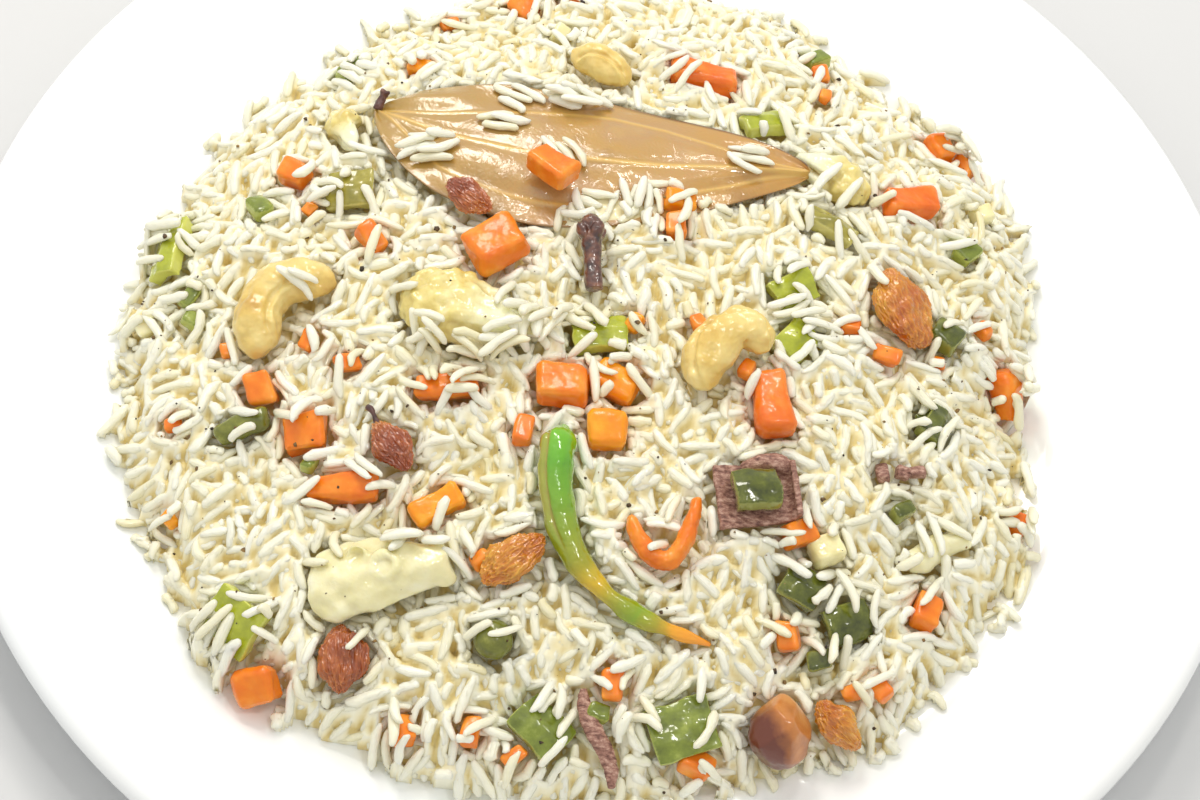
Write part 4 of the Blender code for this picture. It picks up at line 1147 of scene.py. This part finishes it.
def lay(roof, ground, limit, patience, room, proud, deep=1.2, broken=0.1, props_at=-5, spare=0.60):
    """Lays grains one at a time on the ground where there is room (mm) under the roof, until the limit or
    until none fits. Each is the deepest of many choices that stand proud of the roof by no more than is
    allowed (mm) and that lie over a topping with no more than a spare part of their length."""
    missed, laid, open_cells = 0, 0, None
    while laid < limit and missed < patience:
        if open_cells is None or laid % 20 == 0:
            open_cells = np.argwhere(np.where(ground, roof - height, -1) > room * MM)
            if len(open_cells) == 0:
                break
        pick = open_cells[rng.integers(0, len(open_cells), CHOICES)]
        x = cell_x[pick[:, 0]] + rng.uniform(-0.5, 0.5, CHOICES) * CELL
        y = cell_y[pick[:, 1]] + rng.uniform(-0.5, 0.5, CHOICES) * CELL
        follow = rng.random(CHOICES) < 0.5
        own = rng.uniform(0, math.pi, CHOICES)
        heading = np.where(follow, lie[pick[:, 0], pick[:, 1]] + rng.normal(0, 0.22, CHOICES), own)
        short = rng.random(CHOICES) < broken
        half = np.where(short, rng.uniform(1.6, 2.6, CHOICES), rng.uniform(3.0, 5.2, CHOICES)) * MM
        thick = rng.uniform(0.92, 1.20, CHOICES) * MM
        tilt = rng.normal(0, 0.20, CHOICES)
        sink = rng.uniform(0.1, 0.6, CHOICES)
        s, px, py, base, slope, rest = rest_on(x, y, heading, half, thick, props_at, sink, tilt)
        tops = rest[:, None] + slope[:, None] * s + thick[:, None]
        over = tops - height_at(roof, px[:, :, 1], py[:, :, 1])
        inside = height_at(in_heap, px[:, :, 1], py[:, :, 1])
        allowed = proud * MM * rng.uniform(0.3, 1.0, CHOICES)[:, None]
        stands_proud = ((over > allowed) & inside).mean(axis=1)
        care = height_at(guard, px, py)
        bump_up = (tops[:, :, None] - height_at(lid, px, py) > 0) & (care > 0)
        fits = (stands_proud < 0.25) & ~(bump_up & (care == 2)).any(axis=(1, 2))
        fits &= bump_up.mean(axis=(1, 2)) <= spare
        if not fits.any():
            missed += 1
            continue
        missed = 0
        middle_over = over[:, len(ALONG) // 2]
        k = int(np.where(fits, -middle_over + rng.uniform(0, deep * MM, CHOICES), -1e9).argmax())
        keep(
            x[k], y[k], rest[k], heading[k], slope[k], half[k], thick[k], s[k], base[k],
            middle_over[k], short[k],
        )
        laid += 1


def strew(x, y, degrees, count):
    """A few grains dropped at one place, in mm, on whatever is there. Each takes the lowest of its tries."""
    for _ in range(count):
        place_x = (x + rng.normal(0, SPREAD, TRIES)) * MM
        place_y = (y + rng.normal(0, 0.6 * SPREAD, TRIES)) * MM
        heading = np.radians(degrees + rng.normal(0, 16, TRIES))
        half = rng.uniform(*LENGTHS, TRIES) / 2 * MM
        thick = rng.uniform(0.92, 1.15, TRIES) * MM
        s, _, _, base, slope, rest = rest_on(place_x, place_y, heading, half, thick, -3, 0.15, 0)
        k = int(rest.argmin())
        keep(
            place_x[k], place_y[k], rest[k], heading[k], slope[k], half[k], thick[k], s[k], base[k],
            MM, False,
        )


def mark(grain):
    """Raises the height grid under a grain and notes which way it lies."""
    x, y, rest, heading, slope, half, thick, droop_a, droop_b = grain[:9]
    i0, i1 = cells_between(x - half, x + half, CORNER_X, GRID_X)
    j0, j1 = cells_between(y - half, y + half, CORNER_Y, GRID_Y)
    dx, dy = cell_x[i0:i1, None] - x, cell_y[None, j0:j1] - y
    a = dx * math.cos(heading) + dy * math.sin(heading)
    b = -dx * math.sin(heading) + dy * math.cos(heading)
    share = a / half
    under = (np.abs(share) < 1) & (np.abs(b) < thick)
    taper = np.sqrt(np.clip(1 - np.abs(share) ** 4, 0, 1))
    round_top = thick * taper * np.sqrt(np.clip(1 - (b / thick) ** 2, 0, 1))
    sunk = np.where(a < 0, droop_a, droop_b) * share**2
    top = np.where(under, rest + slope * a + round_top - sunk, -1)
    window = height[i0:i1, j0:j1]
    higher = top > window
    window[higher] = top[higher]
    lie[i0:i1, j0:j1][higher] = heading % math.pi
    owner[i0:i1, j0:j1][higher] = len(grains) - 1


clumps = np.array([[noise.noise(Vector((x, y, 0)) / (13 * MM)) for y in cell_y] for x in cell_x]) * 2.6 * MM
lumps = np.array([[noise.noise(Vector((x, y, MM)) / (6 * MM)) for y in cell_y] for x in cell_x]) * 1.2 * MM
clumped = ceiling + np.where(guard > 0, 0, clumps + lumps)
lay(clumped - 1.0 * MM, in_heap, limit=4200, patience=60, room=1.1, proud=0.6, broken=0.14, spare=0.0)
bed = np.minimum(blurred(height, 3) - 0.9 * MM, np.where(guard > 0, lid - 0.3 * MM, 1.0))
height = np.maximum(height, cover)
mound_x, mound_y = np.meshgrid(cell_x / MM, cell_y / MM, indexing="ij")
over_leaf = (mound_x > -15) & (mound_x < 27) & (mound_y < 29.0 - 0.02 * (mound_x - 6) ** 2) & (mound_y > 8)
guard[over_leaf & (guard == 2) & (height_at(skyline(leaf), mound_x * MM, mound_y * MM) > 0)] = 0
nestled = np.where(guard == 1, np.maximum(clumped, cover + 1.8 * MM), np.maximum(clumped, cover + 1.0 * MM))
open_ground = in_heap & (guard == 0)
beside = open_ground & (spread_low(-guard.astype(float), 5) == -1)
lay(nestled, open_ground, limit=2400, patience=80, room=0.5, proud=1.6)
brink = (guard == 1) & (spread_low(guard.astype(float), 2) == 0)
lay(nestled, beside | brink, 480, 60, room=-2.0, proud=2.8, deep=6.0, props_at=-3, broken=0.05)
lay(nestled, open_ground, 1500, 80, room=-0.3, proud=2.4, deep=5.0, props_at=-4, broken=0.05)
near_heap = (spread_low(-in_heap.astype(float), 5) < 0) & ~in_heap & (lumps > 0)
lay(plate_height + 2.4 * MM, near_heap, 70, 40, room=1.0, proud=0.9, deep=2.0, props_at=-2, broken=0.3)
pits = np.clip(lumps / MM * 1.6 - 0.35, 0, 1) * 0.9 * MM
filling = blurred(np.where(cover > 0, np.nan_to_num(heap_height), height), 1) - 0.15 * MM - pits
bed = np.maximum(bed, np.where(spread_low(-guard.astype(float), 3) < 0, bed, filling))
STREWN = (
    (-43.5, 30.5, 10, 6), (-29.6, 39.5, 8, 3), (-26.0, 47.0, -14, 3), (-18.5, 47.6, 6, 4),
    (-12.0, 48.2, 4, 3), (-13.0, 31.5, -40, 3), (25.1, 37.8, 4, 4), (-65.0, -7.5, 150, 1),
    (14.6, -56.0, 62, 1), (18.5, -50.0, 20, 1), (-42.7, -82.0, 70, 1), (-13.5, -78.5, 30, 2),
    (-30.0, -27.0, 20, 2), (-15.0, -14.0, 70, 3), (-33.0, -62.0, 20, 2), (37.5, 0.5, 30, 3),
    (-45.0, -49.0, 150, 2), (-56.0, -36.5, 60, 1), (-2.0, -88.5, 110, 1), (26.0, -87.0, 60, 1),
    (10.0, -90.0, 70, 2), (31.0, -22.0, 100, 1), (1.0, -24.0, 100, 1), (57.5, 12.5, 120, 1),
    (-64.0, 17.0, 20, 1), (-37.0, -18.4, 10, 4), (-30.0, -19.2, -8, 4), (-22.5, -17.8, 30, 4),
    (-15.8, -12.0, 60, 3), (-66.0, -8.6, 20, 1), (16.0, -52.6, 10, 1), (18.6, -49.6, 60, 1),
)
for x, y, degrees, count in STREWN:
    strew(x, y, degrees, count)


# ---------------------------------------------------------------- rice core
# What the eye never reaches: rice packed under the loose grains, as one lumpy mass from the plate up to
# just below them. It follows the grains laid over it, so that no gap shows.

CORE_STEPS = 320
span_x, span_y = heap_high[0] - heap_low[0], heap_high[1] - heap_low[1]
core = primitive("grid", "rice_core", x_subdivisions=CORE_STEPS, y_subdivisions=CORE_STEPS, size=1.0)
spots = points_of(core.data)
spots[:, 0] = heap_low[0] + (spots[:, 0] + 0.5) * span_x
spots[:, 1] = heap_low[1] + (spots[:, 1] + 0.5) * span_y
column = np.clip(((spots[:, 0] - CORNER_X) / CELL).round().astype(int), 0, GRID_X - 1)
row = np.clip(((spots[:, 1] - CORNER_Y) / CELL).round().astype(int), 0, GRID_Y - 1)
relief = np.array([noise.noise(Vector((x, y, 0)) / (1.6 * MM)) for x, y in spots[:, :2]])
spots[:, 2] = bed[column, row] + 0.35 * MM * relief
move_points(core.data, spots)
bpy.ops.object.mode_set(mode="EDIT")
bpy.ops.mesh.select_mode(type="VERT")
bpy.ops.mesh.select_all(action="DESELECT")
bpy.ops.object.mode_set(mode="OBJECT")
bare = spots[:, 2] < plate_height[column, row] + 1.2 * MM
core.data.vertices.foreach_set("select", bare)
bpy.ops.object.mode_set(mode="EDIT")
bpy.ops.mesh.delete(type="VERT")
bpy.ops.mesh.select_non_manifold(extend=False, use_wire=False, use_boundary=True)
bpy.ops.mesh.extrude_region_move(TRANSFORM_OT_translate={"value": (0, 0, -0.8 * MM)})
bpy.ops.mesh.edge_face_add()
bpy.ops.object.mode_set(mode="OBJECT")
skirt = np.zeros(len(core.data.vertices), bool)
core.data.vertices.foreach_get("select", skirt)
spots = points_of(core.data)
spots[skirt, 2] = height_at(plate_height, spots[skirt, 0], spots[skirt, 1]) - 0.3 * MM
move_points(core.data, spots)


def rice_finish(name, deep, middle, light, glow):
    """Steamed basmati: moist, slightly see-through grains, ivory white, with a soft wet shine."""
    made, tree, shader = finish_of(
        name,
        Roughness=0.42,
        IOR=1.34,
        Subsurface_Weight=glow,
        Subsurface_Scale=1.2 * MM,
        Subsurface_Radius=(1.0, 0.95, 0.8),
        Coat_Weight=0.5,
        Coat_Roughness=0.08,
    )
    coords = add(tree, "TexCoord", out="Object")
    tone = add(tree, "Attribute", out="Fac", attribute_name="tone")
    cloud = add(tree, "TexNoise", {"Vector": coords, "Scale": 420.0, "Detail": 2.0})
    shift = add(tree, "MapRange", {"Value": cloud, "To Min": -0.16, "To Max": 0.16})
    mixed = add(tree, "Math", {0: tone, 1: shift}, operation="ADD")
    tint = add(tree, "ValToRGB", {"Fac": mixed}, stops=((0.0, deep), (0.45, middle), (1.0, light)))
    feed(shader, Base_Color=tint)
    course = add(tree, "Attribute", out="Vector", attribute_name="streak")
    ridges = add(tree, "TexNoise", {"Vector": course, "Scale": 2.2, "Detail": 3.0, "Roughness": 0.6})
    bump = add(tree, "Bump", {"Height": ridges, "Strength": 0.6, "Distance": 0.5 * MM})
    feed(shader, Normal=bump)
    return made


# Packed rice under the loose grains: the same rice in darker, more golden colours as painted shade, and
# painted more golden still in its hollows.
packed = rice_finish("packed_rice_painted_shade", "#DDC884", "#EEE3B8", "#F6F3DC", 0.3)
bed_spots = points_of(core.data)
# Painted shade: where the bed lies lower than its surroundings it takes a lower, more golden tone.
bed_hollow_shade = (bed - blurred(bed, 8)) / (1.2 * MM)
paint(core, "tone", np.clip(0.5 + height_at(bed_hollow_shade, bed_spots[:, 0], bed_spots[:, 1]), 0, 1))
take(core)
bpy.ops.object.shade_smooth()
core.data.materials.append(packed)
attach(core, "root")
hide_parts("rice_heap")


# ---------------------------------------------------------------- rice grains
# The grains laid above, each an eight-sided spindle that is a little bent and flattened, with fine streaks
# along it. The whole grains make four pieces and the broken ones, blunt at one end, a fifth.

RINGS, SIDES = 7, 8
BODY = RINGS * SIDES
STREAK = 3.4 * MM


def grain_mesh(name, rows, blunt):
    """One mesh of many grains: for each, its rings of points and then the points at its two ends."""
    columns = np.array([row[:10] for row in rows], float).T
    x, y, z, heading, slope, half, thick, droop_a, droop_b, over = columns
    count = len(rows)
    ring_at = np.array([-1.0, -0.965, -0.84, -0.48, 0.0, 0.48, 0.84, 0.965, 1.0])
    ahead = np.column_stack([np.cos(heading), np.sin(heading), slope])
    ahead /= np.linalg.norm(ahead, axis=1, keepdims=True)
    side = np.column_stack([-np.sin(heading), np.cos(heading), np.zeros(count)])
    over_axis = np.cross(ahead, side)
    bend, twist = rng.normal(0, 0.13, count) * half, rng.normal(0, 0.07, count) * half
    taper_a, taper_b = rng.uniform(2.6, 7.0, count), rng.uniform(2.6, 7.0, count)
    if blunt:
        taper_b = rng.uniform(9, 16, count)
    steps = ring_at[None, :]
    power = np.where(steps < 0, taper_a[:, None], taper_b[:, None])
    radii = np.sqrt(np.clip(1 - np.abs(steps) ** power, 0, 1)) * thick[:, None]
    radii *= 1 + rng.normal(0, 0.10, radii.shape)
    sunk = np.where(steps < 0, droop_a[:, None], droop_b[:, None]) * steps**2
    sway = bend[:, None] * (steps**2 - 0.33) + twist[:, None] * (steps**3 - 0.6 * steps)
    sway += rng.normal(0, 0.07, radii.shape) * thick[:, None]
    centre = np.column_stack([x, y, z])[:, None, :] + ahead[:, None, :] * (steps * half[:, None])[:, :, None]
    centre += side[:, None, :] * sway[:, :, None]
    centre[:, :, 2] -= sunk
    turns = np.arange(SIDES) * 2 * math.pi / SIDES
    flat = rng.uniform(0.62, 0.88, count)
    tilt = rng.uniform(-0.5, 0.5, count)
    wide = radii[:, 1:-1, None] * np.cos(turns)[None, None]
    tall = radii[:, 1:-1, None] * np.sin(turns)[None, None] * flat[:, None, None]
    w = wide * np.cos(tilt)[:, None, None] - tall * np.sin(tilt)[:, None, None]
    h = wide * np.sin(tilt)[:, None, None] + tall * np.cos(tilt)[:, None, None]
    outward = side[:, None, None, :] * w[..., None]
    rings = centre[:, 1:-1, None, :] + outward + over_axis[:, None, None, :] * h[..., None]
    points = np.concatenate([rings.reshape(count, BODY, 3), centre[:, :1], centre[:, -1:]], axis=1)
    points = points.reshape(-1, 3)
    quads, caps, last_ring = [], [], BODY - SIDES
    for k in range(SIDES):
        caps.append(((k + 1) % SIDES, k, BODY))
    for k in range(SIDES):
        caps.append((last_ring + k, last_ring + (k + 1) % SIDES, BODY + 1))
    for first in range(0, last_ring, SIDES):
        for k in range(SIDES):
            n = (k + 1) % SIDES
            quads.append((first + k, first + n, first + SIDES + n, first + SIDES + k))
    start = (BODY + 2) * np.arange(count)[:, None, None]
    quads = (start + np.array(quads)[None]).reshape(-1, 4)
    caps = (start + np.array(caps)[None]).reshape(-1, 3)
    mesh = bpy.data.meshes.new(name)
    mesh.vertices.add(len(points))
    mesh.vertices.foreach_set("co", points.astype(np.float32).ravel())
    mesh.loops.add(quads.size + caps.size)
    mesh.loops.foreach_set("vertex_index", np.concatenate([quads.ravel(), caps.ravel()]).astype(np.int32))
    mesh.polygons.add(len(quads) + len(caps))
    starts = np.concatenate([4 * np.arange(len(quads)), quads.size + 3 * np.arange(len(caps))])
    mesh.polygons.foreach_set("loop_start", starts.astype(np.int32))
    mesh.update(calc_edges=True)
    mesh.validate()
    made = bpy.data.objects.new(name, mesh)
    scene.collection.objects.link(made)
    patch = np.array([noise.noise(Vector((a, b, 0)) / (14 * MM)) for a, b in zip(x, y)])
    # Painted light and shade: grains that stand high get a lighter tone, grains that lie low a darker, more
    # golden one.
    height_light_and_shade = 0.06 * np.clip(over / (2 * MM), -3, 1)
    tone = np.clip(rng.normal(0.62, 0.18, count) + 0.45 * patch + height_light_and_shade, 0, 1)
    # Painted light and shade: each grain is painted lighter on its top and darker and more golden on its
    # sides and underside.
    upper = np.concatenate([np.tile(np.sin(turns), RINGS), [0.0, 0.0]])
    paint(made, "tone", (tone[:, None] + 0.22 * upper[None]).ravel())
    streak = np.zeros((count, BODY + 2, 3))
    ring_length = (steps[:, 1:-1] * half[:, None])[:, :, None] * np.ones(SIDES)
    streak[:, :BODY, 0] = ring_length.reshape(count, BODY) / STREAK
    streak[:, :BODY, 1] = np.tile(1.3 * np.cos(turns), RINGS)
    streak[:, :BODY, 2] = np.tile(1.3 * np.sin(turns), RINGS)
    streak[:, BODY, 0], streak[:, BODY + 1, 0] = -half / STREAK, half / STREAK
    streak += rng.uniform(0, 50, (count, 1, 3))
    layer = mesh.attributes.new("streak", "FLOAT_VECTOR", "POINT")
    layer.data.foreach_set("vector", streak.astype(np.float32).ravel())
    take(made)
    bpy.ops.object.shade_smooth()
    mesh.materials.append(steamed)
    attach(made, "root")


steamed = rice_finish("steamed_basmati", "#E8DCA8", "#F1ECCE", "#F6F5E4", 0.4)
seen = set(np.unique(owner))
whole = [row for number, row in enumerate(grains) if not row[10] and number in seen]
broken_grains = [row for number, row in enumerate(grains) if row[10] and number in seen]
share = -(-len(whole) // 4)
for number in range(4):
    grain_mesh(f"rice_whole_{number + 1}", whole[number * share : (number + 1) * share], False)
grain_mesh("rice_broken", broken_grains, True)


# ---------------------------------------------------------------- spice specks
# Ground pepper and cumin: dark angular specks of 0.2 to 1.5 mm stuck all over the wet rice, in one joined
# piece.

SPECKS = 420
seed = primitive("ico_sphere", "speck", subdivisions=1, radius=1.0)
seed_points = points_of(seed.data)
seed_faces = np.array([tuple(face.vertices) for face in seed.data.polygons])
bpy.data.objects.remove(seed)
cells = np.argwhere(in_heap & (guard < 2))
chosen = cells[rng.integers(0, len(cells), SPECKS)]
sizes = np.minimum(0.13 + rng.exponential(0.08, SPECKS), 0.60) * MM
sizes[::8] = rng.uniform(0.34, 0.62, len(sizes[::8])) * MM
shapes = seed_points[None] * rng.uniform(0.55, 1.25, (SPECKS, len(seed_points), 1)) * sizes[:, None, None]
shapes *= rng.uniform((0.7, 0.7, 0.4), (1.5, 1.5, 0.7), (SPECKS, 3))[:, None]
spread_x = cell_x[chosen[:, 0]] + rng.uniform(-0.5, 0.5, SPECKS) * CELL
spread_y = cell_y[chosen[:, 1]] + rng.uniform(-0.5, 0.5, SPECKS) * CELL
shapes += np.stack([spread_x, spread_y, height[chosen[:, 0], chosen[:, 1]]], axis=1)[:, None]
faces = (len(seed_points) * np.arange(SPECKS)[:, None, None] + seed_faces[None]).reshape(-1, 3)
speck_mesh = bpy.data.meshes.new("spice_specks")
speck_mesh.from_pydata(shapes.reshape(-1, 3).tolist(), [], faces.tolist())
specks = bpy.data.objects.new("spice_specks", speck_mesh)
scene.collection.objects.link(specks)

# Cracked black pepper and cumin: nearly black husk, brown where it is broken, dull.
husk, tree, shader = finish_of("cracked_pepper", Roughness=0.6, IOR=1.45)
coords = add(tree, "TexCoord", out="Object")
cloud = add(tree, "TexNoise", {"Vector": coords, "Scale": 260.0, "Detail": 2.0})
tint = add(tree, "ValToRGB", {"Fac": cloud}, stops=((0.40, "#2E241A"), (0.52, "#5E472A"), (0.66, "#9A7A44")))
feed(shader, Base_Color=tint)
settled(specks, husk)


# ---------------------------------------------------------------- stage, light and camera
# A pale floor under soft light: a tall window and a small pane on the far side, two small lamps, near and
# to the right, whose sparks show on wet skins, and a broad weak fill from the left. The camera looks down
# at 60 degrees.

floor = primitive("plane", "floor", size=6.0)
ground_finish, tree, shader = finish_of("pale_floor", Roughness=0.7)
shader.inputs["Base Color"].default_value = linear("#D4D5D6")
floor.data.materials.append(ground_finish)


def soft_light(name, place, size, power, colour="#FFFFFF"):
    light = bpy.data.lights.new(name, "AREA")
    light.shape = "ELLIPSE"
    light.size, light.size_y = size
    light.energy = power
    light.color = linear(colour)[:3]
    made = bpy.data.objects.new(name, light)
    scene.collection.objects.link(made)
    made.location = place
    made.rotation_euler = (-Vector(place)).to_track_quat("-Z", "Y").to_euler()


soft_light("window", (-0.27, 0.62, 0.74), (0.26, 0.50), 3.8, "#FFFAF2")
soft_light("pane", (0.09, 0.47, 0.88), (0.12, 0.14), 1.2, "#FFFAF2")
soft_light("near_spark", (-0.04, -0.24, 0.97), (0.045, 0.045), 0.22, "#FFFDF8")
soft_light("side_spark", (0.29, -0.10, 0.95), (0.08, 0.16), 1.1, "#FFFDF8")
soft_light("fill", (-0.50, 0.10, 0.90), (1.4, 1.4), 1.2, "#FFFAF0")
world = bpy.data.worlds.new("studio")
world.use_nodes = True
world.node_tree.nodes["Background"].inputs["Color"].default_value = linear("#FAF9F6")
world.node_tree.nodes["Background"].inputs["Strength"].default_value = 0.76
scene.world = world

ELEVATION, ROLL, DISTANCE = math.radians(60), math.radians(7.8), 0.4915
aim = Vector((0, -0.0165, 0.020))
forward = Vector((0, math.cos(ELEVATION), -math.sin(ELEVATION)))
right = Vector((1, 0, 0))
upward = right.cross(forward)
rolled_right = math.cos(ROLL) * right + math.sin(ROLL) * upward
rolled_up = -math.sin(ROLL) * right + math.cos(ROLL) * upward
lens = bpy.data.cameras.new("camera")
lens.lens = 70
lens.sensor_width = 36
camera = bpy.data.objects.new("camera", lens)
scene.collection.objects.link(camera)
camera.matrix_world = Matrix.Translation(aim - forward * DISTANCE) @ Matrix(
    (rolled_right, rolled_up, -forward)
).transposed().to_4x4()
scene.camera = camera
scene.cycles.diffuse_bounces = 12
scene.cycles.max_bounces = 14
